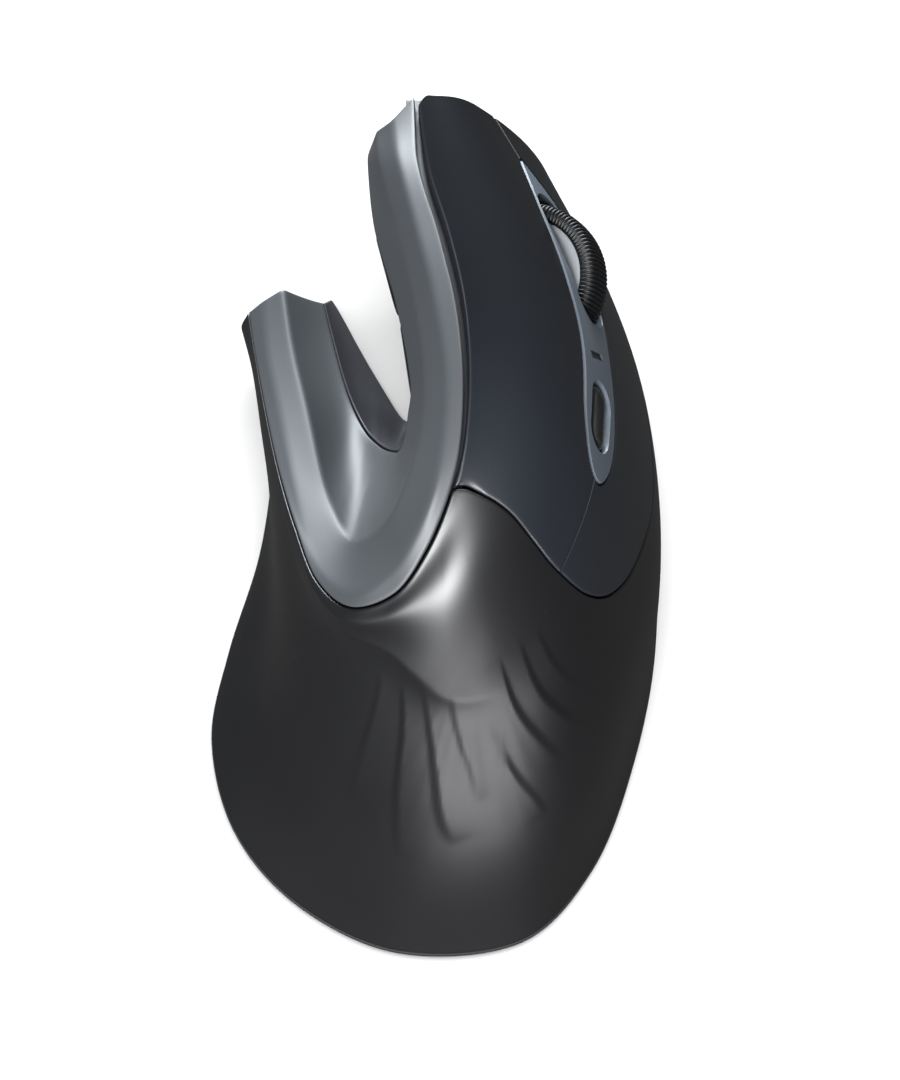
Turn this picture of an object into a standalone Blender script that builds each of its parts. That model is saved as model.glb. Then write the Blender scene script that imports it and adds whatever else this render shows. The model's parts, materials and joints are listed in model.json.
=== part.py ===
"""Right-handed vertical computer mouse, modelled as an assembly of separate pieces.

Frame: metres, +Z up, +Y towards the fingertips, thumb on the -X side. The origin is on the desk, under the
middle of the mouse. The body is a bent arch: its cross-section, taken at a station u, starts at the outer
base edge, climbs the outer skin to the rim, crosses the thumb panel in three bands to the crease and drops
down the thumb wall to the inner base edge. Station 0 is the front of the thumb wing, stations 5 to 8 pass
round the rear, and station 15 is the nose. Lengths in this file are in millimetres until solids are made.
"""

import math

import bpy
import bmesh
import numpy as np
from mathutils import Matrix, Vector

MM = 0.001
WALL = 1.8              # shell thickness
KEY_T, KEY_PROUD = 0.17, 0.35  # how far down the thumb wall the keys sit, and how far they stand out
LAST = 15.0             # last station
FLOOR_Z = 2.5           # lower edge of the shells
PLATE_Z = (0.9, 2.2)    # underside and top of the base plate

# One point per station, wing front to nose.
BASE_OUT = [(-24.5, 37), (-25, 28), (-26, 15), (-27.8, 2.5), (-32, -12.5), (-34.2, -26.4), (-30.3, -40.7),
            (-20.3, -52), (-5.4, -58.85), (12.4, -57.3), (23.1, -46.6), (29.5, -31), (33.5, -12), (33.6, 10),
            (29, 30), (19, 47)]
MID_LOW = [(-27.5, 35.5, 9), (-26.5, 27, 9), (-25.7, 15, 10), (-25.5, 3.5, 11), (-25.5, -9, 12), (-26, -23, 13),
           (-22, -35, 15), (-14, -42.5, 20), (-2.5, -49, 23), (11, -46.5, 26), (21, -36, 29), (28, -19, 28),
           (32.3, 0, 24), (31.2, 21, 23), (26.2, 38.5, 24), (17, 56, 28)]
MID_HIGH = [(-30, 34.5, 19), (-28, 26.5, 20), (-26.2, 15, 23), (-24.4, 4.5, 26), (-22.8, -7, 29),
            (-20, -19, 31), (-15.5, -27, 35), (-8.5, -30.5, 42), (-1, -31, 47), (7, -25, 52), (14, -14, 55),
            (19, 0, 54.5), (20.5, 14.5, 51), (18.5, 28.5, 49), (13.5, 43, 47), (6, 59.4, 44.5)]
RIM = [(-28.8, 35, 24), (-27.5, 27, 26), (-25.4, 15.8, 29.5), (-23.2, 5.5, 33.5), (-20.4, -4.8, 38.5),
       (-16.9, -15.1, 44), (-11.8, -21.1, 49.5), (-5.5, -20.6, 54), (-1, -15.5, 58), (2.3, -8.3, 61.5),
       (4, -1.1, 63.5), (4.5, 8.8, 64.5), (3.7, 19.7, 63.5), (1.6, 30.8, 61), (-1.3, 43, 57), (-3, 58.4, 50)]
EDGE_OUT = [(-26.4, 35.9, 26.5), (-25.2, 25.5, 28.5), (-22.9, 14.5, 31.5), (-20.6, 3.5, 35.5),
            (-17.9, -7.8, 40.5), (-14.8, -15.8, 46), (-10.6, -19.3, 51), (-5.9, -17.5, 55), (-2.7, -13.7, 58.5),
            (-0.3, -8.7, 61.5), (1.2, -0.2, 63), (1.5, 8.5, 63.5), (-0.2, 19.9, 62), (-2.6, 31.1, 59.5),
            (-5.3, 43.8, 55.5), (-6.6, 54.3, 49.5)]
EDGE_IN = [(-23.2, 37.3, 28), (-21.4, 26.3, 29.5), (-18.9, 15.3, 32), (-16.3, 3, 36), (-14.1, -4.5, 40),
           (-12.2, -8.8, 43.5), (-10.1, -10.2, 47), (-7.7, -9.9, 51), (-5.7, -8.3, 54.5), (-3.4, -3.3, 57),
           (-2, 2.6, 58), (-1.7, 10.8, 58), (-3, 22.2, 56.5), (-5.3, 33.8, 54), (-8.2, 46.6, 50),
           (-8.9, 54.9, 45)]
CREASE = [(-17.2, 38.5, 20), (-15.9, 32.8, 20.5), (-13.9, 24.7, 22), (-12.1, 18.9, 24), (-10.2, 14.1, 27),
          (-8.6, 11.2, 30), (-7.4, 9.4, 32.5), (-6.3, 8.1, 35), (-5.4, 7, 38), (-4.6, 7.1, 42), (-4, 9.1, 46),
          (-3.7, 14, 47), (-5.8, 26.6, 45), (-9.1, 39.6, 43), (-10.4, 52.2, 39), (-10.2, 56.8, 35)]
BASE_IN = [(-17, 47), (-16, 45.4), (-14.5, 42.6), (-13, 39.6), (-11, 35.8), (-9, 32.2), (-7.5, 29.5), (-6, 27),
           (-5, 26), (-4.2, 26), (-3.8, 27.5), (-3.5, 30), (-3.5, 35), (-2.5, 40), (0.5, 45), (4, 49)]

# Rear edge of the finger buttons: station at each share s of the skin's height, then the skirt below them.
REAR_EDGE = [(0.30, 12.5), (0.325, 12.15), (0.36, 11.7), (0.405, 11.18), (0.48, 10.62), (0.585, 10.12),
             (0.65, 9.95), (0.775, 9.78), (0.9, 9.62), (1.0, 9.0)]
SKIRT_TOP = 0.30
# Centre trim: station, middle and half width in shares of the skin's height.
TRIM = [(9.5, 0.585, 0), (11.16, 0.588, 0), (11.75, 0.597, 0.057), (12.5, 0.596, 0.056), (13.0, 0.59, 0.063),
        (13.5, 0.577, 0.069), (13.9, 0.567, 0.069), (14.25, 0.558, 0.058), (14.62, 0.580, 0), (15.0, 0.590, 0)]
TRIM_REAR, TRIM_FRONT = 11.16, 14.62
WHEEL_AT = (13.55, 0.576)
DPI_AT = (11.78, 0.594)
LIGHT_AT = (12.42, 0.598)

WHEEL_R, WHEEL_W, WHEEL_PROUD = 12.5, 6.0, 4.0
AXLE_R = 1.2


def smooth_through(points, t):
    """Catmull-Rom curve through the points, read at the parameters t (0 is the first point)."""
    points = np.asarray(points, float)
    t = np.atleast_1d(np.asarray(t, float))
    last = len(points) - 1
    i = np.clip(np.floor(t).astype(int), 0, last - 1)
    f = (t - i).reshape((-1,) + (1,) * (points.ndim - 1))
    padded = np.concatenate([[2 * points[0] - points[1]], points, [2 * points[-1] - points[-2]]])
    a, b, c, d = (padded[i + k] for k in range(4))
    return 0.5 * (2 * b + (c - a) * f + (2 * a - 5 * b + 4 * c - d) * f**2 + (3 * b - 3 * c + d - a) * f**3)


def at_height(points, z):
    return [(x, y, z) for x, y in points]


def skin(u, s):
    """Outer skin at stations u and shares s of its height; u and s are arrays of one shape."""
    u, s = np.broadcast_arrays(np.asarray(u, float), np.asarray(s, float))
    flat_u, flat_s = u.ravel(), s.ravel() * 3
    rows = [smooth_through(p, flat_u) for p in (at_height(BASE_OUT, FLOOR_Z), MID_LOW, MID_HIGH, RIM)]
    first, last = 2 * rows[0] - rows[1], 2 * rows[3] - rows[2]
    stack = np.stack([first, *rows, last])
    i = np.clip(np.floor(flat_s).astype(int), 0, 2)
    f = (flat_s - i)[:, None]
    k = np.arange(len(i))
    a, b, c, d = (stack[i + n, k] for n in range(4))
    found = 0.5 * (2 * b + (c - a) * f + (2 * a - 5 * b + 4 * c - d) * f**2 + (3 * b - 3 * c + d - a) * f**3)
    return found.reshape(u.shape + (3,))


def panel(u, t):
    """Thumb panel: t 0 at the rim, 1 and 2 at its two edges, 3 at the crease. The last band is hollowed."""
    u, t = np.broadcast_arrays(np.asarray(u, float), np.asarray(t, float))
    rows = np.stack([smooth_through(p, u.ravel()) for p in (RIM, EDGE_OUT, EDGE_IN, CREASE)])
    i = np.clip(np.floor(t.ravel()).astype(int), 0, 2)
    f = (t.ravel() - i)[:, None]
    k = np.arange(len(i))
    found = rows[i, k] * (1 - f) + rows[i + 1, k] * f
    depth = np.interp(u.ravel(), [0, 5, 8, 10], [0.5, 2, 1.5, 0])
    found[:, 2] -= np.where(i == 2, 4 * f[:, 0] * (1 - f[:, 0]), 0) * depth
    return found.reshape(u.shape + (3,))


def thumb_wall_surface(u, t):
    """Thumb wall: t 0 at the crease, 1 at the inner base edge, hollowed a little between."""
    u, t = np.broadcast_arrays(np.asarray(u, float), np.asarray(t, float))
    top = smooth_through(CREASE, u.ravel())
    foot = smooth_through(at_height(BASE_IN, FLOOR_Z), u.ravel())
    f = t.ravel()[:, None]
    found = top * (1 - f) + foot * f
    return found.reshape(u.shape + (3,))


def normals(surface, u, v):
    """Unit normals of a surface, by differences, pointing out of the body."""
    step = 0.01
    u, v = np.broadcast_arrays(np.asarray(u, float), np.asarray(v, float))
    du = surface(np.clip(u + step, 0, LAST), v) - surface(np.clip(u - step, 0, LAST), v)
    dv = surface(u, v + step * 0.2) - surface(u, v - step * 0.2)
    n = np.cross(du, dv)
    return n / np.linalg.norm(n, axis=-1, keepdims=True)


def skin_normals(u, s):
    return normals(skin, u, np.clip(s, 0.003, 0.997))


def panel_normals(u, t):
    return normals(panel, u, np.clip(t, 0.01, 2.99))


def wall_normals(u, t):
    return normals(thumb_wall_surface, u, np.clip(t, 0.01, 0.99))


def unit(v):
    return v / np.linalg.norm(v, axis=-1, keepdims=True)


def mitre(one, other):
    """Direction halfway between two normals, long enough to keep the wall thickness."""
    mid = unit(one + other)
    return mid / np.clip((mid * one).sum(-1, keepdims=True), 0.45, 1)


def level(n):
    """A normal turned into the horizontal, for the edge that stands on the base plate."""
    flat = n.copy()
    flat[..., 2] = 0
    return unit(flat)


def eased(n, edge, share):
    """n where share is 1, the edge's own direction where share is 0, and a smooth change between."""
    share = np.clip(share, 0, 1)[..., None]
    share = share * share * (3 - 2 * share)
    return n * share + edge * (1 - share)


def new_object(name, verts, faces, material, smooth=True):
    mesh = bpy.data.meshes.new(name)
    mesh.from_pydata([tuple(p) for p in np.asarray(verts, float) * MM], [], faces)
    mesh.validate()
    bm = bmesh.new()
    bm.from_mesh(mesh)
    bmesh.ops.recalc_face_normals(bm, faces=bm.faces)
    bm.to_mesh(mesh)
    bm.free()
    if smooth:
        mesh.shade_smooth()
        mesh.set_sharp_from_angle(angle=math.radians(35))
    obj = bpy.data.objects.new(name, mesh)
    bpy.context.scene.collection.objects.link(obj)
    if material:
        mesh.materials.append(material)
    return obj


def shell_from_grids(name, outer, inner, material):
    """Closed shell between two grids of points of the same shape."""
    rows, cols = outer.shape[:2]
    verts = np.concatenate([outer.reshape(-1, 3), inner.reshape(-1, 3)])
    half = rows * cols

    def at(r, c, side):
        return side * half + r * cols + c

    faces = []
    for r in range(rows - 1):
        for c in range(cols - 1):
            faces.append((at(r, c, 0), at(r + 1, c, 0), at(r + 1, c + 1, 0), at(r, c + 1, 0)))
            faces.append((at(r, c, 1), at(r, c + 1, 1), at(r + 1, c + 1, 1), at(r + 1, c, 1)))
    for c in range(cols - 1):
        faces.append((at(0, c, 0), at(0, c + 1, 0), at(0, c + 1, 1), at(0, c, 1)))
        faces.append((at(rows - 1, c, 0), at(rows - 1, c, 1), at(rows - 1, c + 1, 1), at(rows - 1, c + 1, 0)))
    for r in range(rows - 1):
        faces.append((at(r, 0, 0), at(r, 0, 1), at(r + 1, 0, 1), at(r + 1, 0, 0)))
        faces.append((at(r, cols - 1, 0), at(r + 1, cols - 1, 0), at(r + 1, cols - 1, 1), at(r, cols - 1, 1)))
    return new_object(name, verts, faces, material)


# Directions in which each surface is thickened, pointing out of the body.

def skin_out(u, s):
    u, s = np.broadcast_arrays(np.asarray(u, float), np.asarray(s, float))
    rim = mitre(skin_normals(u, np.ones_like(s)), panel_normals(u, np.zeros_like(s)))
    foot = level(skin_normals(u, np.zeros_like(s)))
    n = eased(skin_normals(u, s), rim, (1 - s) / 0.14)
    return eased(n, foot, s / 0.1)


def panel_out(u, t):
    u, t = np.broadcast_arrays(np.asarray(u, float), np.asarray(t, float))
    one = np.ones_like(t)
    bands = [panel_normals(u, one * k) for k in (0.5, 1.5, 2.5)]
    corners = np.stack([mitre(skin_normals(u, one), panel_normals(u, 0 * one)), mitre(bands[0], bands[1]),
                        mitre(bands[1], bands[2]), mitre(panel_normals(u, 3 * one), wall_normals(u, 0 * one))])
    i = np.clip(np.floor(t).astype(int), 0, 2)
    f = (t - i)[..., None]
    low = np.take_along_axis(corners, i[None, ..., None], 0)[0]
    high = np.take_along_axis(corners, i[None, ..., None] + 1, 0)[0]
    return low * (1 - f) + high * f


def wall_out(u, t):
    u, t = np.broadcast_arrays(np.asarray(u, float), np.asarray(t, float))
    one = np.ones_like(t)
    top = mitre(panel_normals(u, 3 * one), wall_normals(u, 0 * one))
    foot = level(wall_normals(u, one))
    f = t[..., None]
    return top * (1 - f) + foot * f


def length_per_unit(surface, u, v0, v1):
    """Length of the surface from v0 to v1 at stations u, per unit of v."""
    return np.linalg.norm(surface(u, v1) - surface(u, v0), axis=-1) / abs(v1 - v0)


def rear_edge(s):
    """Station of the finger buttons' rear edge at share s."""
    s_list = [p[0] for p in REAR_EDGE]
    u_list = [p[1] for p in REAR_EDGE]
    return smooth_through(np.array(u_list), np.interp(s, s_list, range(len(s_list))))


def trim_mid(u):
    return np.interp(u, [p[0] for p in TRIM], [p[1] for p in TRIM])


def trim_half(u):
    """Half width of the centre trim: round at the rear, long and pointed in front."""
    u = np.asarray(u, float)
    round_end = np.clip((u - TRIM_REAR) / 0.59, 0, 1)
    half = np.interp(u, [p[0] for p in TRIM], [p[2] for p in TRIM])
    return np.where(u < 11.75, TRIM[2][2] * np.sqrt(1 - (1 - round_end) ** 2), half)


def loop_inset(loop, distance):
    """A closed loop of (station, share) points on the skin, moved inwards over the skin by a distance."""
    u, s = loop[:, 0], loop[:, 1]
    e = 0.01
    along_u = (skin(u + e, s) - skin(u - e, s)) / (2 * e)
    along_s = (skin(u, s + e) - skin(u, s - e)) / (2 * e)
    normal = unit(np.cross(along_u, along_s))

    def side(step):
        edge = along_u * step[:, :1] + along_s * step[:, 1:]
        return unit(np.cross(normal, edge))

    step = np.roll(loop, -1, 0) - loop
    move = mitre(side(np.roll(step, 1, 0)), side(step)) * np.broadcast_to(distance, u.shape)[:, None]
    a, b, c = (along_u**2).sum(1), (along_u * along_s).sum(1), (along_s**2).sum(1)
    p, q = (move * along_u).sum(1), (move * along_s).sum(1)
    det = a * c - b * b
    return loop + np.stack([(c * p - b * q) / det, (a * q - b * p) / det], 1)


def patch(low, high, gap_low=0.15, gap_high=0.15, rows=8):
    """(u, s) grid between a low and a high curve, rear to front, inset from both and from its ends."""
    n = len(low)
    b = np.linspace(0, 1, rows)[:, None]
    front = low[-1] * (1 - b) + high[-1] * b
    rear = rear_between(low[0], high[0], b)
    loop = np.concatenate([low, front[1:-1], high[::-1], rear[1:-1][::-1]])
    gaps = np.concatenate([np.full(n, gap_low), np.full(rows - 2, 0.15), np.full(n, gap_high),
                           np.full(rows - 2, 0.15)])
    loop = loop_inset(loop, gaps)
    low, front = loop[:n], loop[n - 1:n + rows - 1]
    high = loop[n + rows - 2:2 * n + rows - 2][::-1]
    rear = np.concatenate([loop[:1], loop[2 * n + rows - 2:][::-1]])
    rear = np.concatenate([rear[:rows - 1], high[:1]])
    a = np.linspace(0, 1, n)[:, None, None]
    b = np.linspace(0, 1, rows)[None, :, None]
    ruled = (low[:, None] * (1 - b) + high[:, None] * b) + (rear[None] * (1 - a) + front[None] * a)
    corners = ((low[0] * (1 - b) + high[0] * b) * (1 - a) + (low[-1] * (1 - b) + high[-1] * b) * a)
    grid = ruled - corners
    return grid[..., 0], grid[..., 1]


def rear_between(low, high, b):
    """Points on the rear edge of the buttons, or a straight line where the patch isn't at that edge."""
    line = low * (1 - b) + high * b
    if abs(rear_edge(high[1])[0] - high[0]) < 0.02 and abs(rear_edge(low[1])[0] - low[0]) < 0.02:
        line[:, 0] = rear_edge(line[:, 1])
    return line


def trim_stations():
    """Stations shared by the trim's outline and the two buttons beside it, rear edge to nose."""
    rear = rear_edge(trim_mid(10.1))[0]
    return np.array([rear, 10.65, TRIM_REAR, 11.21, 11.3, 11.42, 11.61, 11.9, 12.2, 12.5, 12.8, 13.1, 13.4, 13.62,
                     13.8, 14, 14.2, 14.4, 14.54, TRIM_FRONT, LAST])


def band(name, surface, out, u, v, material, thick=WALL):
    """Shell of one surface over a grid of stations u and shares v."""
    outer = surface(u, v)
    return shell_from_grids(name, outer, outer - thick * out(u, v), material)


def palm_shell(material):
    """Rear shell: the whole outer skin up to the finger buttons, and the skirt under them."""
    s_join = trim_mid(10.1)
    s_edge = np.concatenate([np.linspace(1, s_join, 7), np.linspace(s_join, SKIRT_TOP, 12)[1:]])
    u_edge = rear_edge(s_edge)
    n = len(u_edge)
    u_top = np.concatenate([np.linspace(0, u_edge[0], 23)[:-1], u_edge, np.linspace(u_edge[-1], LAST, 7)[1:]])
    s_top = np.concatenate([np.ones(22), s_edge, np.full(6, SKIRT_TOP)])
    u_foot = np.concatenate([np.linspace(0, u_edge[0], 23)[:-1], np.linspace(u_edge[0], u_edge[-1], n),
                             np.linspace(u_edge[-1], LAST, 7)[1:]])
    low = np.stack([u_foot, np.zeros_like(u_foot)], 1)
    high = np.stack([u_top, s_top], 1)
    u, s = patch(low, high, 0, rows=15)
    return band("palm_shell", skin, skin_out, u, np.clip(s, 0, 1), material)


def left_button(material):
    u = trim_stations()
    low = np.stack([u, trim_mid(u) + trim_half(u)], 1)
    v = np.linspace(rear_edge(1.0)[0], LAST, len(u))
    high = np.stack([v, np.ones_like(v)], 1)
    u, s = patch(low, high, 0.24, 0.15, rows=7)
    return band("left_button", skin, skin_out, u, s, material)


def right_button(material):
    v = trim_stations()
    u = np.linspace(rear_edge(SKIRT_TOP)[0], LAST, len(v))
    low = np.stack([u, np.full_like(u, SKIRT_TOP)], 1)
    high = np.stack([v, trim_mid(v) - trim_half(v)], 1)
    u, s = patch(low, high, 0.3, 0.24, rows=12)
    return band("right_button", skin, skin_out, u, s, material)


def centre_trim(material):
    u = trim_stations()[3:-2]
    low = np.stack([u, trim_mid(u) - trim_half(u)], 1)
    high = np.stack([u, trim_mid(u) + trim_half(u)], 1)
    u, s = patch(low, high, 0.2, 0.2, rows=4)
    return band("centre_trim", skin, skin_out, u, s, material)


def thumb_panel(material):
    u = np.linspace(0, LAST, 41)[:, None]
    gap = np.interp(u, [0, 8.8, 9.6, 12.5, 15], [0.15, 0.15, 0.35, 1.2, 1.2])
    t_low = gap / length_per_unit(panel, u, 0.0, 1.0)
    t_high = 3 - 0.15 / length_per_unit(panel, u, 2.0, 3.0)
    t = np.array([0, 1, 2, 2.33, 2.66, 3])[None, :] * np.ones_like(u)
    t[:, :1] = t_low
    t[:, -1:] = t_high
    u = np.clip(u, 0.02, LAST - 0.02) * np.ones_like(t)
    return band("thumb_panel", panel, panel_out, u, t, material)


def thumb_wall(material):
    u = np.linspace(0.02, LAST - 0.02, 31)[:, None]
    gap = 0.15 / length_per_unit(thumb_wall_surface, u, 0.0, 1.0)
    t = gap + (1 - gap) * np.linspace(0, 1, 4)[None, :]
    return band("thumb_wall", thumb_wall_surface, wall_out, u * np.ones_like(t), t, material)


def end_cap(name, station, inner_station, drops, material):
    """Domed plate that closes the body at one end, inside the shells by the drops (skin, panel, wall)."""
    rows, cols = 9, 5
    h = np.linspace(0, 1, rows)

    def ring(u):
        u = np.full(rows, u)
        left = skin(u, h) - drops[0] * skin_out(u, h)
        right = thumb_wall_surface(u, 1 - h) - drops[2] * wall_out(u, 1 - h)
        t_left, t_right = np.array([0.7, 1.35]), np.array([2.3, 1.65])
        top_left = panel(u[:2], t_left) - drops[1] * panel_out(u[:2], t_left)
        top_right = panel(u[:2], t_right) - drops[1] * panel_out(u[:2], t_right)
        b = np.linspace(0, 1, cols)[None, :, None]
        one = np.concatenate([left, top_left])[:, None]
        other = np.concatenate([right, top_right])[:, None]
        return one * (1 - b) + other * b

    outer, inner = ring(station), ring(inner_station)
    crown = np.sin(np.pi * np.linspace(0, 1, cols))[None, :, None] * np.array([0, 0.8, 0])
    return shell_from_grids(name, outer + crown, inner + crown, material)


# Solids made in a local frame: x across, y along, z out.

def place(origin, x=(1, 0, 0), y=(0, 1, 0)):
    """Local frame with its origin at a point in millimetres; x and y give its directions."""
    x, y = Vector(x).normalized(), Vector(y).normalized()
    z = x.cross(y).normalized()
    y = z.cross(x)
    m = Matrix((x, y, z)).transposed().to_4x4()
    m.translation = Vector(origin) * MM
    return m


def under_skin(u, s, depth=0.0):
    """Local frame below the outer skin: z out of the skin, y towards the nose, x down the hand's side."""
    n = Vector(skin_normals(u, s).ravel())
    forward = Vector((skin(u + 0.02, s) - skin(u - 0.02, s)).ravel()).normalized()
    x = forward.cross(n).normalized()
    y = n.cross(x)
    return place(Vector(skin(u, s).ravel()) - n * depth, x, y)


def solid(name, verts, faces, frame, material, smooth=True):
    obj = new_object(name, verts, faces, material, smooth)
    obj.matrix_world = frame
    return obj


def block(name, low, high, frame, material):
    """Box between two corners, in millimetres."""
    verts = [(x, y, z) for x in (low[0], high[0]) for y in (low[1], high[1]) for z in (low[2], high[2])]
    faces = [(0, 1, 3, 2), (4, 6, 7, 5), (0, 4, 5, 1), (2, 3, 7, 6), (0, 2, 6, 4), (1, 5, 7, 3)]
    return solid(name, verts, faces, frame, material, smooth=False)


def prism(name, outline, z0, z1, frame, material):
    """Flat outline in x and y, raised from z0 to z1."""
    n = len(outline)
    verts = [(x, y, z0) for x, y in outline] + [(x, y, z1) for x, y in outline]
    faces = [tuple(range(n))[::-1], tuple(range(n, 2 * n))]
    faces += [(k, (k + 1) % n, n + (k + 1) % n, n + k) for k in range(n)]
    return solid(name, verts, faces, frame, material)


def turned(name, profile, frame, material, sides=24):
    """Closed profile of (radius, z) points turned about the local z axis; a radius of 0 closes an end."""
    rings, faces, verts = [], [], []
    for r, z in profile:
        if r < 1e-6:
            rings.append([len(verts)] * sides)
            verts.append((0, 0, z))
            continue
        rings.append(list(range(len(verts), len(verts) + sides)))
        verts += [(r * math.cos(2 * math.pi * k / sides), r * math.sin(2 * math.pi * k / sides), z)
                  for k in range(sides)]
    pairs = list(zip(rings, rings[1:] + rings[:1]))
    if profile[0][0] < 1e-6 and profile[-1][0] < 1e-6:
        pairs = pairs[:-1]
    for low, high in pairs:
        for k in range(sides):
            m = (k + 1) % sides
            face = list(dict.fromkeys((low[k], low[m], high[m], high[k])))
            if len(face) > 2:
                faces.append(tuple(face))
    return solid(name, verts, faces, frame, material)


def rod(name, radius, z0, z1, frame, material, sides=16):
    return turned(name, [(0, z0), (radius, z0), (radius, z1), (0, z1)], frame, material, sides)


def pill(half_width, half_length, steps=6):
    """Outline with round ends, long along y."""
    straight = half_length - half_width
    top = [(half_width * math.cos(a), straight + half_width * math.sin(a))
           for a in (math.pi * k / (2 * steps) * 2 for k in range(steps + 1))]
    return top + [(-x, -y) for x, y in top]


def boolean(target, tool, operation="DIFFERENCE"):
    """Cuts a tool out of the target, or joins it on, and removes the tool."""
    mod = target.modifiers.new(operation.lower(), "BOOLEAN")
    mod.operation = operation
    mod.solver = "EXACT"
    mod.object = tool
    bpy.context.view_layer.update()
    graph = bpy.context.evaluated_depsgraph_get()
    mesh = bpy.data.meshes.new_from_object(target.evaluated_get(graph))
    target.modifiers.clear()
    target.data = mesh
    bpy.data.objects.remove(tool)
    return target


def cut(target, *tools):
    for tool in tools:
        boolean(target, tool)
    return target


def join(target, *tools):
    for tool in tools:
        boolean(target, tool, "UNION")
    return target


def material(name, colour, roughness=0.5, metallic=0.0):
    mat = bpy.data.materials.new(name)
    mat.use_nodes = True
    bsdf = mat.node_tree.nodes["Principled BSDF"]
    bsdf.inputs["Base Color"].default_value = (*colour, 1)
    bsdf.inputs["Roughness"].default_value = roughness
    bsdf.inputs["Metallic"].default_value = metallic
    return mat


DESK = Matrix.Identity(4)
WHEEL_DEPTH = WHEEL_R - WHEEL_PROUD
BATTERY_R, BATTERY_LENGTH = 7.25, 50.5
BATTERY_X, BATTERY_Y, BATTERY_Z = 8.0, -16.0, 10.2
DOOR_X, DOOR_Y = (-2.2, 18.2), (-43.5, 11.0)
BOARD_X, BOARD_Y, BOARD_Z = (3.6, 22.0), (14.0, 38.0), (7.6, 8.8)
SENSOR_AT = (11.5, 25.0)
SWITCH_AT = (13.0, 16.5)
RECEIVER_AT = (-10.6, -26.0)
POSTS = [(6.0, 16.5), (20.0, 16.5), (17.5, 35.5)]


def base_outline():
    outer = smooth_through(np.array(BASE_OUT, float), np.linspace(0, LAST, 46))
    inner = smooth_through(np.array(BASE_IN, float), np.linspace(LAST, 0, 31))
    return [tuple(p) for p in outer] + [tuple(p) for p in inner]


def base_plate(mat):
    """Floor of the case, with its openings and the posts that carry the main board."""
    plate = prism("base_plate", base_outline(), *PLATE_Z, DESK, mat)
    for x, y in POSTS:
        join(plate, rod("post", 2.2, 1.5, BOARD_Z[0] - 0.2, place((x, y, 0)), None, 12))
        cut(plate, rod("pilot", 0.9, 3.0, 9.0, place((x, y, 0)), None, 8))
    x, y = SENSOR_AT
    cut(plate, block("window", (x - 3.2, y - 4.5, 0), (x + 3.2, y + 4.5, 3), DESK, None))
    x, y = SWITCH_AT
    cut(plate, block("slot", (x - 3.4, y - 1.4, 0), (x + 3.4, y + 1.4, 3), DESK, None))
    x, y = RECEIVER_AT
    cut(plate, block("mouth", (x - 6.4, y - 2.7, 0), (x + 6.4, y + 2.7, 3), DESK, None))
    low, high = (DOOR_X[0] - 0.3, DOOR_Y[0] - 0.3, 0), (DOOR_X[1] + 0.3, DOOR_Y[1] + 0.3, 3)
    return cut(plate, block("doorway", low, high, DESK, None))


def battery_door(mat):
    low, high = (DOOR_X[0], DOOR_Y[0], PLATE_Z[0]), (DOOR_X[1], DOOR_Y[1], PLATE_Z[1])
    door = block("battery_door", low, high, DESK, mat)
    for k in range(3):
        y = DOOR_Y[1] - 3 - 2 * k
        cut(door, block("grip", (4, y - 0.4, 0), (12, y + 0.4, 1.3), DESK, None))
    return door


def battery_set(mats):
    """Holder, cell, and the contacts at its two ends."""
    half = BATTERY_LENGTH / 2
    y0, y1 = BATTERY_Y - half - 3.8, BATTERY_Y + half + 2.3
    x0, x1 = BATTERY_X - 9.0, BATTERY_X + 9.0
    holder = block("battery_holder", (x0, y0, 2.6), (x1, y1, 12.5), DESK, mats["dark"])
    cut(holder, block("bay", (x0 + 1.4, y0 + 1.3, 2), (x1 - 1.4, y1 - 1.3, 13), DESK, None))
    axis = place((BATTERY_X, BATTERY_Y, BATTERY_Z), (1, 0, 0), (0, 0, -1))
    turned("battery_cell", [(0, -half), (BATTERY_R - 0.6, -half), (BATTERY_R, -half + 0.6), (BATTERY_R, half - 1.8),
                            (BATTERY_R - 0.6, half - 1.2), (2.7, half - 1.2), (2.7, half), (0, half)],
           axis, mats["cell"], 20)
    plate = (BATTERY_X - 4, BATTERY_X + 4)
    block("battery_contact_plus", (plate[0], y1 - 1.95, 4), (plate[1], y1 - 1.45, 12), DESK, mats["metal"])
    block("battery_contact_minus", (plate[0], y0 + 1.45, 4), (plate[1], y0 + 1.95, 12), DESK, mats["metal"])
    end = BATTERY_Y - half
    turned("battery_spring", [(0, y0 + 2.05 - BATTERY_Y), (3.4, y0 + 2.05 - BATTERY_Y),
                              (1.9, end - 0.1 - BATTERY_Y), (0, end - 0.1 - BATTERY_Y)], axis, mats["metal"], 16)


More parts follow.
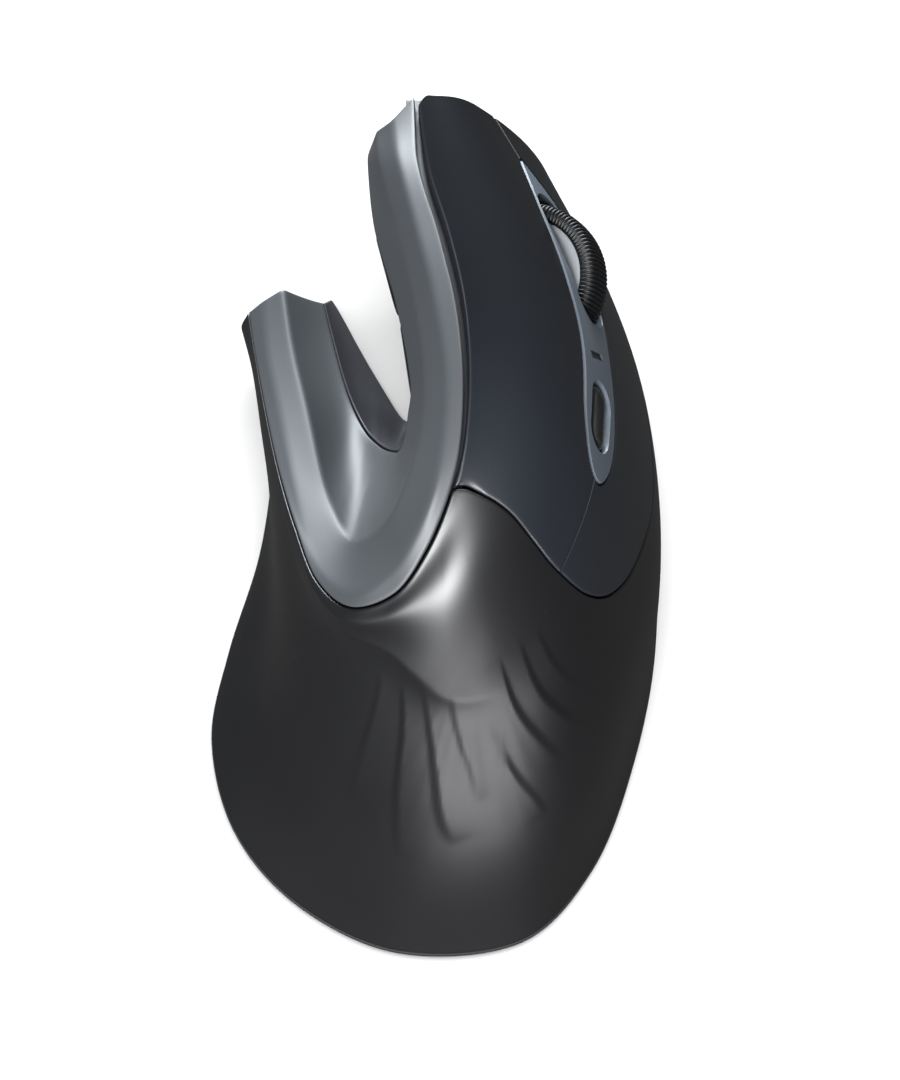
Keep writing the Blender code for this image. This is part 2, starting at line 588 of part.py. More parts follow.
def main_board(mats):
    """Circuit board on three posts, its screws, the sensor with its lens, and the power switch."""
    board = block("main_board", (BOARD_X[0], BOARD_Y[0], BOARD_Z[0]), (BOARD_X[1], BOARD_Y[1], BOARD_Z[1]), DESK,
                  mats["board"])
    x, y = SENSOR_AT
    cut(board, block("view", (x - 2.2, y - 2.2, 7), (x + 2.2, y + 2.2, 9.5), DESK, None))
    for n, (px, py) in enumerate(POSTS):
        cut(board, rod("hole", 1.2, 7, 9.5, place((px, py, 0)), None, 12))
        screw = [(0, 3.6), (0.75, 4.2), (0.75, 8.9), (2.0, 8.9), (2.0, 9.7), (1.2, 10.2), (0, 10.2)]
        turned(f"board_screw_{n + 1}", screw, place((px, py, 0)), mats["metal"], 12)
    turned("sensor_lens", [(0, 3.4), (2.6, 3.4), (4.8, 4.4), (4.8, 7.3), (0, 7.3)], place((x, y, 0)),
           mats["lens"], 16)
    block("sensor_chip", (x - 4.5, y - 5.5, 9.0), (x + 4.5, y + 5.5, 11.4), DESK, mats["black"])
    x, y = SWITCH_AT
    block("power_switch_body", (x - 4.4, y - 1.9, 4.6), (x + 4.4, y + 1.9, 7.4), DESK, mats["metal"])
    block("power_switch_knob", (x - 3.1, y - 1.1, 1.1), (x - 0.1, y + 1.1, 4.3), DESK, mats["dark"])


def receiver_set(mats):
    """Wireless receiver parked upright in a sleeve above an opening in the base."""
    x, y = RECEIVER_AT
    sleeve = block("receiver_sleeve", (x - 7.6, y - 3.9, 2.5), (x + 7.6, y + 3.9, 21), DESK, mats["dark"])
    cut(sleeve, block("bay", (x - 6.4, y - 2.7, 2), (x + 6.4, y + 2.7, 19.8), DESK, None))
    block("receiver_plug", (x - 6.0, y - 2.25, 7.3), (x + 6.0, y + 2.25, 19.2), DESK, mats["metal"])
    block("receiver_cap", (x - 6.0, y - 2.25, 1.0), (x + 6.0, y + 2.25, 7.1), DESK, mats["dark"])


def feet(mat):
    """Low-friction feet on the underside; the ring round the sensor is one of them."""
    foot = pill(4.0, 9.0)
    for name, at, turn in (("foot_rear_left", (-20, -34), 0.9), ("foot_rear_right", (22.7, -32), 0.05),
                           ("foot_front_right", (24.5, 24.0), 0.25), ("foot_wing", (-20.5, 24.0), 0.1)):
        size = 1.0 if name == "foot_rear_left" else 0.8
        frame = place((*at, 0), (math.cos(turn), math.sin(turn), 0), (-math.sin(turn), math.cos(turn), 0))
        prism(name, [(x * size, y * size) for x, y in foot], 0, 0.75, frame, mat)
    x, y = SENSOR_AT
    ring = prism("foot_sensor_ring", [(x + 6.4 * math.cos(a), y + 6.9 * math.sin(a)) for a in
                                      (2 * math.pi * k / 24 for k in range(24))], 0, 0.75, DESK, mat)
    cut(ring, block("window", (x - 3.6, y - 4.9, -1), (x + 3.6, y + 4.9, 2), DESK, None))


def wheel_set(mats):
    """Scroll wheel with its axle, the cradle that lets it click, its encoder and the click switch."""
    at = under_skin(*WHEEL_AT, WHEEL_DEPTH)
    spin = at @ Matrix.Rotation(math.pi / 2, 4, "Y")
    half = WHEEL_W / 2
    hub_r = WHEEL_R - 2.4
    turned("wheel_tyre", [(hub_r, -half), (WHEEL_R - 0.8, -half), (WHEEL_R, -half + 1.0), (WHEEL_R, half - 1.0),
                          (WHEEL_R - 0.8, half), (hub_r, half)], spin, mats["tyre"], 40)
    turned("wheel_hub", [(AXLE_R + 0.15, -half + 0.4), (hub_r - 0.15, -half + 0.4), (hub_r - 0.15, half - 0.4),
                         (AXLE_R + 0.15, half - 0.4)], spin, mats["silver"], 32)
    rod("wheel_axle", AXLE_R, -8.2, 6.0, spin, mats["metal"], 12)
    cradle = block("wheel_cradle", (-6.0, -WHEEL_R - 2.2, -1.9), (6.0, WHEEL_R + 2.2, 1.9), at, mats["dark"])
    cut(cradle, block("well", (-half - 0.6, -WHEEL_R - 0.7, -3), (half + 0.6, WHEEL_R + 0.7, 3), at, None),
        rod("bore", AXLE_R + 0.2, -8, 8, spin, None, 12))
    encoder = block("wheel_encoder", (-8.6, -3.5, -6.0), (-6.4, 3.5, 2.6), at, mats["black"])
    cut(encoder, rod("bore", AXLE_R + 0.8, -12, 0, spin, None, 12))
    block("wheel_click_switch", (-3, WHEEL_R + 0.4, -7.0), (3, WHEEL_R + 4.4, -2.6), at, mats["black"])


def trim_pieces(trim, mats):
    """Openings in the centre trim, and the resolution button and light that sit in them."""
    at = under_skin(*WHEEL_AT)
    slot = math.sqrt(WHEEL_R**2 - (WHEEL_DEPTH - WALL) ** 2) + 1.2
    cut(trim, prism("slot", pill(WHEEL_W / 2 + 0.8, slot), -9, 6, at, None))
    at = under_skin(*DPI_AT)
    cut(trim, prism("recess", pill(2.7, 5.7), -5, 4, at, None))
    prism("resolution_button", pill(2.3, 5.3), -3.2, -0.35, at, mats["gloss"])
    block("resolution_switch", (-2.4, -2.4, -7.0), (2.4, 2.4, -3.7), at, mats["black"])
    block("resolution_board", (-4.2, -7.0, -8.3), (4.2, 7.0, -7.2), at, mats["board"])
    at = under_skin(*LIGHT_AT)
    cut(trim, block("slit", (-2.3, -0.75, -4), (2.3, 0.75, 3), at, None))
    block("indicator_light", (-2.05, -0.5, -4.4), (2.05, 0.5, -0.1), at, mats["light"])


def button_switch(side, u, s, mats):
    """Microswitch under a finger button, with the small board that carries it."""
    at = under_skin(u, s)
    body = [(-6.4, -9.6), (6.4, -9.6), (6.4, -3.4), (3.2, -3.4), (3.0, -2.75), (1.6, -2.75), (1.4, -3.4),
            (-6.4, -3.4)]
    frame = at @ Matrix.Rotation(math.pi / 2, 4, "Z") @ Matrix.Rotation(math.pi / 2, 4, "X")
    prism(f"{side}_switch", body, -2.9, 2.9, frame, mats["black"])
    block(f"{side}_switch_board", (-3.6, -8.5, -11.0), (3.6, 8.5, -9.8), at, mats["board"])


def control_frame(mats):
    """Bracket that holds the switch boards and the wheel's cradle over the base."""
    at = under_skin(*WHEEL_AT, WHEEL_DEPTH + WHEEL_R + 1.5)
    bracket = block("control_frame", (-4, -12, -1.6), (8, 8, 0), at, mats["dark"])
    join(bracket, block("tongue", (-0.8, 6, -1.6), (3, 16.4, 0), at, None))
    join(bracket, block("post", (-0.8, 13.4, -0.8), (3, 16.4, 6.7), at, None))
    x, y, z = at.translation / MM
    join(bracket, block("leg", (x - 1.9, y - 8, FLOOR_Z), (x + 0.4, y, z - 2), DESK, None))
    return bracket


def thumb_buttons(wall, mats):
    """Forward and back keys in the thumb wall, with their switches behind them."""
    for name, u in (("forward_key", 12.6), ("back_key", 11.3)):
        n = Vector(wall_normals(u, KEY_T).ravel())
        ahead, behind = thumb_wall_surface(u + 0.1, KEY_T), thumb_wall_surface(u - 0.1, KEY_T)
        along = Vector((ahead - behind).ravel()).normalized()
        frame = place(thumb_wall_surface(u, KEY_T).ravel(), along.cross(n), along)
        cut(wall, prism("slot", pill(2.6, 7.3), -4, 4, frame, None))
        prism(name, pill(2.2, 6.9), -2.8, KEY_PROUD, frame, mats["gloss"])
        block(f"{name}_switch", (-1.7, -3, -6.4), (1.7, 3, -3.6), frame, mats["black"])


def palette():
    return {
        "palm": material("palm_plastic", (0.035, 0.037, 0.042), 0.38),
        "button": material("button_plastic", (0.045, 0.05, 0.058), 0.35),
        "trim": material("trim_plastic", (0.26, 0.29, 0.32), 0.42),
        "panel": material("thumb_panel_rubber", (0.14, 0.155, 0.17), 0.6),
        "wall": material("thumb_wall_plastic", (0.022, 0.022, 0.026), 0.5),
        "dark": material("dark_plastic", (0.02, 0.02, 0.022), 0.55),
        "tyre": material("tyre_rubber", (0.01, 0.01, 0.011), 0.6),
        "silver": material("hub_paint", (0.7, 0.72, 0.74), 0.3, 0.4),
        "gloss": material("gloss_black", (0.012, 0.012, 0.014), 0.2),
        "light": material("light_pipe", (0.08, 0.085, 0.09), 0.3),
        "metal": material("plated_steel", (0.62, 0.62, 0.6), 0.3, 1.0),
        "cell": material("cell_wrap", (0.1, 0.25, 0.14), 0.4, 0.2),
        "board": material("board_laminate", (0.02, 0.12, 0.06), 0.5),
        "black": material("switch_plastic", (0.015, 0.015, 0.017), 0.5),
        "lens": material("clear_lens", (0.75, 0.78, 0.8), 0.1),
        "foot": material("slick_foot", (0.05, 0.05, 0.055), 0.45),
    }


def main():
    for obj in list(bpy.data.objects):
        bpy.data.objects.remove(obj)
    mats = palette()
    palm_shell(mats["palm"])
    left_button(mats["button"])
    right_button(mats["button"])
    trim = centre_trim(mats["trim"])
    thumb_panel(mats["panel"])
    wall = thumb_wall(mats["wall"])
    end_cap("wing_cap", 0.06, 0.28, (2.1, 2.1, 2.1), mats["wall"])
    end_cap("nose_cap", 14.9, 14.75, (3.0, 2.3, 2.1), mats["wall"])
    base_plate(mats["dark"])
    battery_door(mats["dark"])
    battery_set(mats)
    main_board(mats)
    receiver_set(mats)
    feet(mats["foot"])
    wheel_set(mats)
    trim_pieces(trim, mats)
    button_switch("left", 13.9, 0.86, mats)
    button_switch("right", 14.1, 0.405, mats)
    control_frame(mats)
    thumb_buttons(wall, mats)


main()
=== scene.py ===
"""A right-handed vertical computer mouse on a pale floor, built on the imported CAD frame.

The CAD supplies the moving pieces and everything inside. This script lays the visible skins again at a
finer pitch on the same form, with rounded seam edges, the moulded folds of the palm and the ribs of the
tyre, and gives every piece its material. Form lengths are in millimetres and turn into metres when a mesh
is made.
"""

import json
import math

import bpy
import bmesh
import numpy as np
from mathutils import Matrix, Vector

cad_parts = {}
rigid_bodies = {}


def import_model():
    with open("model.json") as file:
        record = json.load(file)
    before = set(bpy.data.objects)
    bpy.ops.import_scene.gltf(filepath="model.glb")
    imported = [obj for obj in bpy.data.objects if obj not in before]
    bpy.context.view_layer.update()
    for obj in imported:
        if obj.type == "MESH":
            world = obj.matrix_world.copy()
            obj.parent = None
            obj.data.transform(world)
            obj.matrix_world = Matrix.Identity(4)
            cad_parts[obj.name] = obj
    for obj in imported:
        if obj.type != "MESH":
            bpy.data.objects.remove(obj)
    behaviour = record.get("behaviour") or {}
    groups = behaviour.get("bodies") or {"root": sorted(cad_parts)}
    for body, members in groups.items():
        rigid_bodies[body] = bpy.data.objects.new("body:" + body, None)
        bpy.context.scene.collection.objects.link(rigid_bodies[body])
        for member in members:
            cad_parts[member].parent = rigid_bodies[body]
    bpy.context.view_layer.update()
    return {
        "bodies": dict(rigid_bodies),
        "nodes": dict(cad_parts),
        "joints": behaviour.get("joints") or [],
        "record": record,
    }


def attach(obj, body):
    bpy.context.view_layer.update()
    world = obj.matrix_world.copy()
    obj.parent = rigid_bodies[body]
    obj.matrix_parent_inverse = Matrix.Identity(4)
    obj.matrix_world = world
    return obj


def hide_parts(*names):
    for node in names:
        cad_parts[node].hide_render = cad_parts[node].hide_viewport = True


MM = 0.001
WALL = 1.8
LAST = 15.0
FLOOR_Z = 2.5

# The form is a row of cross-sections: station 0 is the front of the thumb wing, 5 to 8 pass round the rear,
# and 15 is the nose. Each list has one point per station. The points of RIM, EDGE_OUT, EDGE_IN and CREASE
# were worked out by a separate program, not chosen by hand.
BASE_OUT = [(-24.5, 37), (-25, 28), (-26, 15), (-27.8, 2.5), (-32, -12.5), (-34.2, -26.4), (-30.3, -40.7),
            (-20.3, -52), (-5.4, -58.85), (12.4, -57.3), (23.1, -46.6), (29.5, -31), (33.5, -12), (33.6, 10),
            (29, 30), (19, 47)]
MID_LOW = [(-27.5, 35.5, 9), (-26.5, 27, 9), (-25.7, 15, 10), (-25.5, 3.5, 11), (-25.5, -9, 12),
           (-26, -23, 13), (-22, -35, 15), (-14, -42.5, 20), (-2.5, -49, 23), (11, -46.5, 26),
           (21, -36, 29), (28, -19, 28), (32.3, 0, 24), (31.2, 21, 23), (26.2, 38.5, 24), (17, 56, 28)]
MID_HIGH = [(-30, 34.5, 19), (-28, 26.5, 20), (-26.2, 15, 23), (-24.4, 4.5, 26), (-22.8, -7, 29),
            (-20, -19, 31), (-15.5, -27, 35), (-8.5, -30.5, 42), (-1, -31, 47), (7, -25, 52), (14, -14, 55),
            (19, 0, 54.5), (20.5, 14.5, 51), (18.5, 28.5, 49), (13.5, 43, 47), (6, 59.4, 44.5)]
RIM = [(-28.8, 35, 24), (-27.5, 27, 26), (-25.4, 15.8, 29.5), (-23.2, 5.5, 33.5), (-20.4, -4.8, 38.5),
       (-16.9, -15.1, 44), (-11.8, -21.1, 49.5), (-5.5, -20.6, 54), (-1, -15.5, 58), (2.3, -8.3, 61.5),
       (4, -1.1, 63.5), (4.5, 8.8, 64.5), (3.7, 19.7, 63.5), (1.6, 30.8, 61), (-1.3, 43, 57), (-3, 58.4, 50)]
EDGE_OUT = [(-26.4, 35.9, 26.5), (-25.2, 25.5, 28.5), (-22.9, 14.5, 31.5), (-20.6, 3.5, 35.5),
            (-17.9, -7.8, 40.5), (-14.8, -15.8, 46), (-10.6, -19.3, 51), (-5.9, -17.5, 55),
            (-2.7, -13.7, 58.5), (-0.3, -8.7, 61.5), (1.2, -0.2, 63), (1.5, 8.5, 63.5), (-0.2, 19.9, 62),
            (-2.6, 31.1, 59.5), (-5.3, 43.8, 55.5), (-6.6, 54.3, 49.5)]
EDGE_IN = [(-23.2, 37.3, 28), (-21.4, 26.3, 29.5), (-18.9, 15.3, 32), (-16.3, 3, 36), (-14.1, -4.5, 40),
           (-12.2, -8.8, 43.5), (-10.1, -10.2, 47), (-7.7, -9.9, 51), (-5.7, -8.3, 54.5), (-3.4, -3.3, 57),
           (-2, 2.6, 58), (-1.7, 10.8, 58), (-3, 22.2, 56.5), (-5.3, 33.8, 54), (-8.2, 46.6, 50),
           (-8.9, 54.9, 45)]
CREASE = [(-17.2, 38.5, 20), (-15.9, 32.8, 20.5), (-13.9, 24.7, 22), (-12.1, 18.9, 24), (-10.2, 14.1, 27),
          (-8.6, 11.2, 30), (-7.4, 9.4, 32.5), (-6.3, 8.1, 35), (-5.4, 7, 38), (-4.6, 7.1, 42), (-4, 9.1, 46),
          (-3.7, 14, 47), (-5.8, 26.6, 45), (-9.1, 39.6, 43), (-10.4, 52.2, 39), (-10.2, 56.8, 35)]
BASE_IN = [(-17, 47), (-16, 45.4), (-14.5, 42.6), (-13, 39.6), (-11, 35.8), (-9, 32.2), (-7.5, 29.5),
           (-6, 27), (-5, 26), (-4.2, 26), (-3.8, 27.5), (-3.5, 30), (-3.5, 35), (-2.5, 40), (0.5, 45),
           (4, 49)]

SKIRT_TOP = 0.30  # lower edge of the right button, as a share of the skin's height
# Centre trim: station, middle and half width in shares of the skin's height.
TRIM = [(9.5, 0.585, 0), (11.16, 0.588, 0), (11.75, 0.597, 0.057), (12.5, 0.596, 0.056),
        (13.0, 0.59, 0.063), (13.5, 0.577, 0.069), (13.9, 0.567, 0.069), (14.25, 0.558, 0.058),
        (14.62, 0.580, 0), (15.0, 0.590, 0)]
TRIM_REAR, TRIM_FRONT = 11.16, 14.62


def smooth_through(points, t):
    """Catmull-Rom curve through the points, read at the parameters t (0 is the first point)."""
    points = np.asarray(points, float)
    t = np.atleast_1d(np.asarray(t, float))
    last = len(points) - 1
    i = np.clip(np.floor(t).astype(int), 0, last - 1)
    f = (t - i).reshape((-1,) + (1,) * (points.ndim - 1))
    padded = np.concatenate([[2 * points[0] - points[1]], points, [2 * points[-1] - points[-2]]])
    return hermite(*(padded[i + k] for k in range(4)), f)


def hermite(a, b, c, d, f):
    return 0.5 * (2 * b + (c - a) * f + (2 * a - 5 * b + 4 * c - d) * f**2 + (3 * b - 3 * c + d - a) * f**3)


def at_height(points, z):
    return [(x, y, z) for x, y in points]


def smoothstep(x):
    x = np.clip(x, 0, 1)
    return x * x * (3 - 2 * x)


def unit(v):
    return v / np.linalg.norm(v, axis=-1, keepdims=True)


def arrays(u, v):
    return np.broadcast_arrays(np.asarray(u, float), np.asarray(v, float))


def plain_skin(u, s):
    """Outer skin at stations u and shares s of its height, before its moulded detail."""
    u, s = arrays(u, s)
    flat_s = s.ravel() * 3
    rows = [smooth_through(p, u.ravel()) for p in (at_height(BASE_OUT, FLOOR_Z), MID_LOW, MID_HIGH, RIM)]
    stack = np.stack([2 * rows[0] - rows[1], *rows, 2 * rows[3] - rows[2]])
    i = np.clip(np.floor(flat_s).astype(int), 0, 2)
    k = np.arange(len(i))
    found = hermite(*(stack[i + n, k] for n in range(4)), (flat_s - i)[:, None])
    return found.reshape(u.shape + (3,))


def panel_bands(u, t):
    """Thumb panel: t 0 at the rim, 1 and 2 at its two edges, 3 at the crease. The last band is hollowed."""
    u, t = arrays(u, t)
    rows = np.stack([smooth_through(p, u.ravel()) for p in (RIM, EDGE_OUT, EDGE_IN, CREASE)])
    i = np.clip(np.floor(t.ravel()).astype(int), 0, 2)
    f = (t.ravel() - i)[:, None]
    k = np.arange(len(i))
    found = rows[i, k] * (1 - f) + rows[i + 1, k] * f
    depth = np.interp(u.ravel(), [0, 5, 8, 10], [0.5, 2, 1.5, 0])
    found[:, 2] -= np.where(i == 2, 4 * f[:, 0] * (1 - f[:, 0]), 0) * depth
    return found.reshape(u.shape + (3,))


def thumb_wall(u, t):
    """Thumb wall: t 0 at the crease, 1 at the inner base edge."""
    u, t = arrays(u, t)
    top = smooth_through(CREASE, u.ravel())
    foot = smooth_through(at_height(BASE_IN, FLOOR_Z), u.ravel())
    f = t.ravel()[:, None]
    return (top * (1 - f) + foot * f).reshape(u.shape + (3,))


def normals(surface, u, v, low=0.003, high=0.997):
    u, v = arrays(u, np.clip(v, low, high))
    du = surface(np.clip(u + 0.01, 0, LAST), v) - surface(np.clip(u - 0.01, 0, LAST), v)
    dv = surface(u, v + 0.002) - surface(u, v - 0.002)
    return unit(np.cross(du, dv))


def mitre(one, other):
    """Direction halfway between two normals, long enough to keep the wall thickness."""
    mid = unit(one + other)
    return mid / np.clip((mid * one).sum(-1, keepdims=True), 0.45, 1)


def level(n):
    flat = n.copy()
    flat[..., 2] = 0
    return unit(flat)


def panel_normals(u, t):
    return normals(panel_bands, u, t, 0.01, 2.99)


def wall_normals(u, t):
    return normals(thumb_wall, u, t, 0.01, 0.99)


def skin_out(u, s):
    """Direction in which the skin has its thickness: mitred at the rim, level at the base."""
    u, s = arrays(u, s)
    one = np.ones_like(s)
    n = normals(plain_skin, u, s)
    rim = mitre(normals(plain_skin, u, one), panel_normals(u, 0 * one))
    k = smoothstep((1 - s) / 0.14)[..., None]
    n = n * k + rim * (1 - k)
    k = smoothstep(s / 0.1)[..., None]
    return n * k + level(normals(plain_skin, u, 0 * one)) * (1 - k)


def panel_out(u, t):
    u, t = arrays(u, t)
    one = np.ones_like(t)
    bands = [panel_normals(u, one * k) for k in (0.5, 1.5, 2.5)]
    skin, wall = normals(plain_skin, u, one), wall_normals(u, 0 * one)
    corners = np.stack([mitre(skin, panel_normals(u, 0 * one)), mitre(bands[0], bands[1]),
                        mitre(bands[1], bands[2]), mitre(panel_normals(u, 3 * one), wall)])
    i = np.clip(np.floor(t).astype(int), 0, 2)
    f = (t - i)[..., None]
    low = np.take_along_axis(corners, i[None, ..., None], 0)[0]
    high = np.take_along_axis(corners, i[None, ..., None] + 1, 0)[0]
    return low * (1 - f) + high * f


def wall_out(u, t):
    u, t = arrays(u, t)
    one = np.ones_like(t)
    f = t[..., None]
    edge = mitre(panel_normals(u, 3 * one), wall_normals(u, 0 * one))
    return edge * (1 - f) + level(wall_normals(u, one)) * f


# Moulded skins: a grid of points with a rounded edge all round, a wall and an inside.

def loop_inset(surface, loop, distance):
    """A closed loop of (station, share) points on a surface, moved inwards over it by a distance."""
    u, s = loop[:, 0], loop[:, 1]
    e = 0.01
    along_u = (surface(u + e, s) - surface(u - e, s)) / (2 * e)
    along_s = (surface(u, s + e) - surface(u, s - e)) / (2 * e)
    normal = unit(np.cross(along_u, along_s))

    def side(step):
        return unit(np.cross(normal, along_u * step[:, :1] + along_s * step[:, 1:]))

    step = np.roll(loop, -1, 0) - loop
    move = mitre(side(np.roll(step, 1, 0)), side(step)) * np.broadcast_to(distance, u.shape)[:, None]
    a, b, c = (along_u**2).sum(1), (along_u * along_s).sum(1), (along_s**2).sum(1)
    p, q = (move * along_u).sum(1), (move * along_s).sum(1)
    det = a * c - b * b
    return loop + np.stack([(c * p - b * q) / det, (a * q - b * p) / det], 1)


def ruled_grid(low, rear, high, front):
    """Grid of (station, share) points between four boundary curves: low and high run rear to front."""
    a = np.linspace(0, 1, len(low))[:, None, None]
    b = np.linspace(0, 1, len(rear))[None, :, None]
    ruled = low[:, None] * (1 - b) + high[:, None] * b + rear[None] * (1 - a) + front[None] * a
    return ruled - (low[0] * (1 - b) + high[0] * b) * (1 - a) - (low[-1] * (1 - b) + high[-1] * b) * a


def surface_steps(surface, u, s):
    e = 0.01
    along_u = (surface(u + e, s) - surface(u - e, s)) / (2 * e)
    along_s = (surface(u, s + e) - surface(u, s - e)) / (2 * e)
    return along_u, along_s, unit(np.cross(along_u, along_s))


def inward(surface, side):
    """Direction over the surface, square to a side of the outline and towards its inside."""
    along_u, along_s, normal = surface_steps(surface, side[:, 0], side[:, 1])
    step = np.gradient(side, axis=0)
    return unit(np.cross(normal, along_u * step[:, :1] + along_s * step[:, 1:]))


def to_stations(surface, side, move):
    """A move in mm at each point of a side, as a change of (station, share)."""
    along_u, along_s, _ = surface_steps(surface, side[:, 0], side[:, 1])
    a, b, c = (along_u**2).sum(1), (along_u * along_s).sum(1), (along_s**2).sum(1)
    p, q = (move * along_u).sum(1), (move * along_s).sum(1)
    det = a * c - b * b
    return np.stack([(c * p - b * q) / det, (a * q - b * p) / det], 1)


def inset_sides(surface, sides, distances):
    """The four sides of an outline, moved inwards by their own distances and still sharing their corners."""
    facing = [inward(surface, side) for side in sides]
    moves = [f * d[:, None] for f, d in zip(facing, distances)]
    for k in range(4):
        one, other = facing[k][-1], facing[(k + 1) % 4][0]
        c = one @ other
        d, e = distances[k][-1], distances[(k + 1) % 4][0]
        true_corner = c < 0.95  # the two sides don't meet in line
        met = (one * (d - c * e) + other * (e - c * d)) / (1 - c * c) if true_corner else None
        corner = met if true_corner else (one * d + other * e) / 2
        ease_to(moves[k][::-1], corner, surface, sides[k][::-1])
        ease_to(moves[(k + 1) % 4], corner, surface, sides[(k + 1) % 4])
    return [side + to_stations(surface, side, move) for side, move in zip(sides, moves)]


def ease_to(moves, corner, surface, side, reach=5.0):
    """Changes a side's moves so that they start at the corner's move and keep their own beyond the reach."""
    points = surface(side[:, 0], side[:, 1])
    away = np.concatenate([[0], np.cumsum(np.linalg.norm(np.diff(points, axis=0), axis=1))])
    moves += np.clip(1 - away / reach, 0, 1)[:, None] * (corner - moves[0])


def moulded(name, surface, out, shape, low, rear, high, front, gaps, radii, thick=WALL):
    """Thin-walled piece on a surface, bounded by four curves that share their corners.

    gaps is the seam's half width at each curve and radii rounds its edge over. shape is the finished surface,
    with its detail; surface and out give the plain one and the direction of its thickness.
    """
    n, m = len(low), len(rear)
    sides = [low, front, high[::-1], rear[::-1]]
    gap, radius = [round_values(v, sides) for v in (gaps, radii)]
    loops, drops = [], []
    for turn in np.radians([0, 22, 45, 68, 90]):
        moved = inset_sides(surface, sides, [g + r * (1 - math.cos(turn)) for g, r in zip(gap, radius)])
        loops.append(np.concatenate([moved[0], moved[1][1:-1], moved[2], moved[3][1:-1]]))
        around = np.concatenate([radius[0], radius[1][1:-1], radius[2], radius[3][1:-1]])
        drops.append(around * (1 - math.sin(turn)))
    grid = ruled_grid(moved[0], moved[3][::-1], moved[2][::-1], moved[1])
    u, s = grid[..., 0], grid[..., 1]
    face = shape(u, s)
    back = surface(u, s) - thick * out(u, s)
    rings = [shape(p[:, 0], p[:, 1]) - d[:, None] * out(p[:, 0], p[:, 1]) for p, d in zip(loops, drops)][:-1]
    foot = loops[0]
    rings.insert(0, surface(foot[:, 0], foot[:, 1]) - (thick - 0.1) * out(foot[:, 0], foot[:, 1]))
    return skin_mesh(name, face, back, rings, rim_indices(n, m))


def round_values(values, sides):
    """A value, or a list, for each of the low, rear, high and front curves, in the order of the sides."""
    low, rear, high, front = values
    turned = high if np.isscalar(high) else high[::-1]
    return [np.broadcast_to(v, len(side)).astype(float) for v, side in zip((low, front, turned, rear), sides)]


def rim_indices(n, m):
    """Indices of a grid's outer loop, in the order low, front, high, rear."""
    index = np.arange(n * m).reshape(n, m)
    return np.concatenate([index[:, 0], index[-1, 1:-1], index[:, -1][::-1], index[0, 1:-1][::-1]])


def skin_mesh(name, face, back, rings, edge):
    """Mesh of a face grid, the rings that round its edge down to the wall's foot, and a back grid."""
    n, m = face.shape[:2]
    index = np.arange(n * m).reshape(n, m)
    quads = np.stack([index[:-1, :-1], index[1:, :-1], index[1:, 1:], index[:-1, 1:]], -1).reshape(-1, 4)
    faces = [quads, quads[:, ::-1] + n * m]
    count = len(edge)
    chain = [edge + n * m] + [2 * n * m + k * count + np.arange(count) for k in range(len(rings))] + [edge]
    for lower, upper in zip(chain, chain[1:]):
        faces.append(np.stack([lower, np.roll(lower, -1), np.roll(upper, -1), upper], -1))
    verts = np.concatenate([face.reshape(-1, 3), back.reshape(-1, 3), *rings])
    return mesh_object(name, verts, np.concatenate(faces))


def mesh_object(name, verts, faces, sharp=None):
    """Smooth-shaded object from points in millimetres; sharp keeps edges over that angle crisp."""
    mesh = bpy.data.meshes.new(name)
    mesh.from_pydata((np.asarray(verts, float) * MM).tolist(), [], [tuple(int(i) for i in f) for f in faces])
    mesh.validate()
    bm = bmesh.new()
    bm.from_mesh(mesh)
    bmesh.ops.recalc_face_normals(bm, faces=bm.faces)
    bm.to_mesh(mesh)
    bm.free()
    mesh.shade_smooth()
    if sharp:
        mesh.set_sharp_from_angle(angle=math.radians(sharp))
    obj = bpy.data.objects.new(name, mesh)
    bpy.context.scene.collection.objects.link(obj)
    return obj


# Moulded detail of the palm: a collar round the thumb panel, a shoulder below it, and folds behind it.
# Most points of FOLDS and some of SHOULDER were worked out by a separate program.

FOLDS = [  # height and reach in mm (reach under 0 fades to the left), then points (station, share) going down
    (0.30, -6.0, [(9.66, 0.572), (9.8, 0.508), (10.08, 0.432)]),
    (0.50, -6.5, [(9.4, 0.59), (9.52, 0.512), (9.74, 0.448), (10.02, 0.384)]),
    (0.42, -6.5, [(9.1, 0.6), (9.18, 0.532), (9.36, 0.468), (9.72, 0.372)]),
    (0.28, -6.0, [(8.82, 0.54), (9.0, 0.456), (9.28, 0.364), (9.4, 0.316)]),
    (0.35, 5.5, [(8.36, 0.62), (8.46, 0.54), (8.58, 0.48), (8.66, 0.42)]),
    (0.50, 6.5, [(7.9, 0.66), (8.02, 0.584), (8.12, 0.516), (8.24, 0.408), (8.38, 0.352)]),
    (0.50, 6.5, [(7.46, 0.67), (7.6, 0.576), (7.66, 0.452), (7.78, 0.312)]),
    (0.28, 6.0, [(6.96, 0.712), (7.04, 0.62), (7.06, 0.496), (7.08, 0.372)]),
    (0.22, 6.0, [(5.5, 0.85), (5.25, 0.66), (4.96, 0.476)]),
]
STEEP = 1.0
SHOULDER = [(3.0, 0.955), (4.0, 0.935), (5.0, 0.925), (5.6, 0.915), (6.2, 0.88), (6.72, 0.828), (7.2, 0.77),
            (7.66, 0.704), (8.36, 0.608), (9.0, 0.56), (10.0, 0.53)]
COLLAR_HEIGHT = 1.1
SKIRT_DEPTH, SKIRT_REACH = 1.3, 6.0


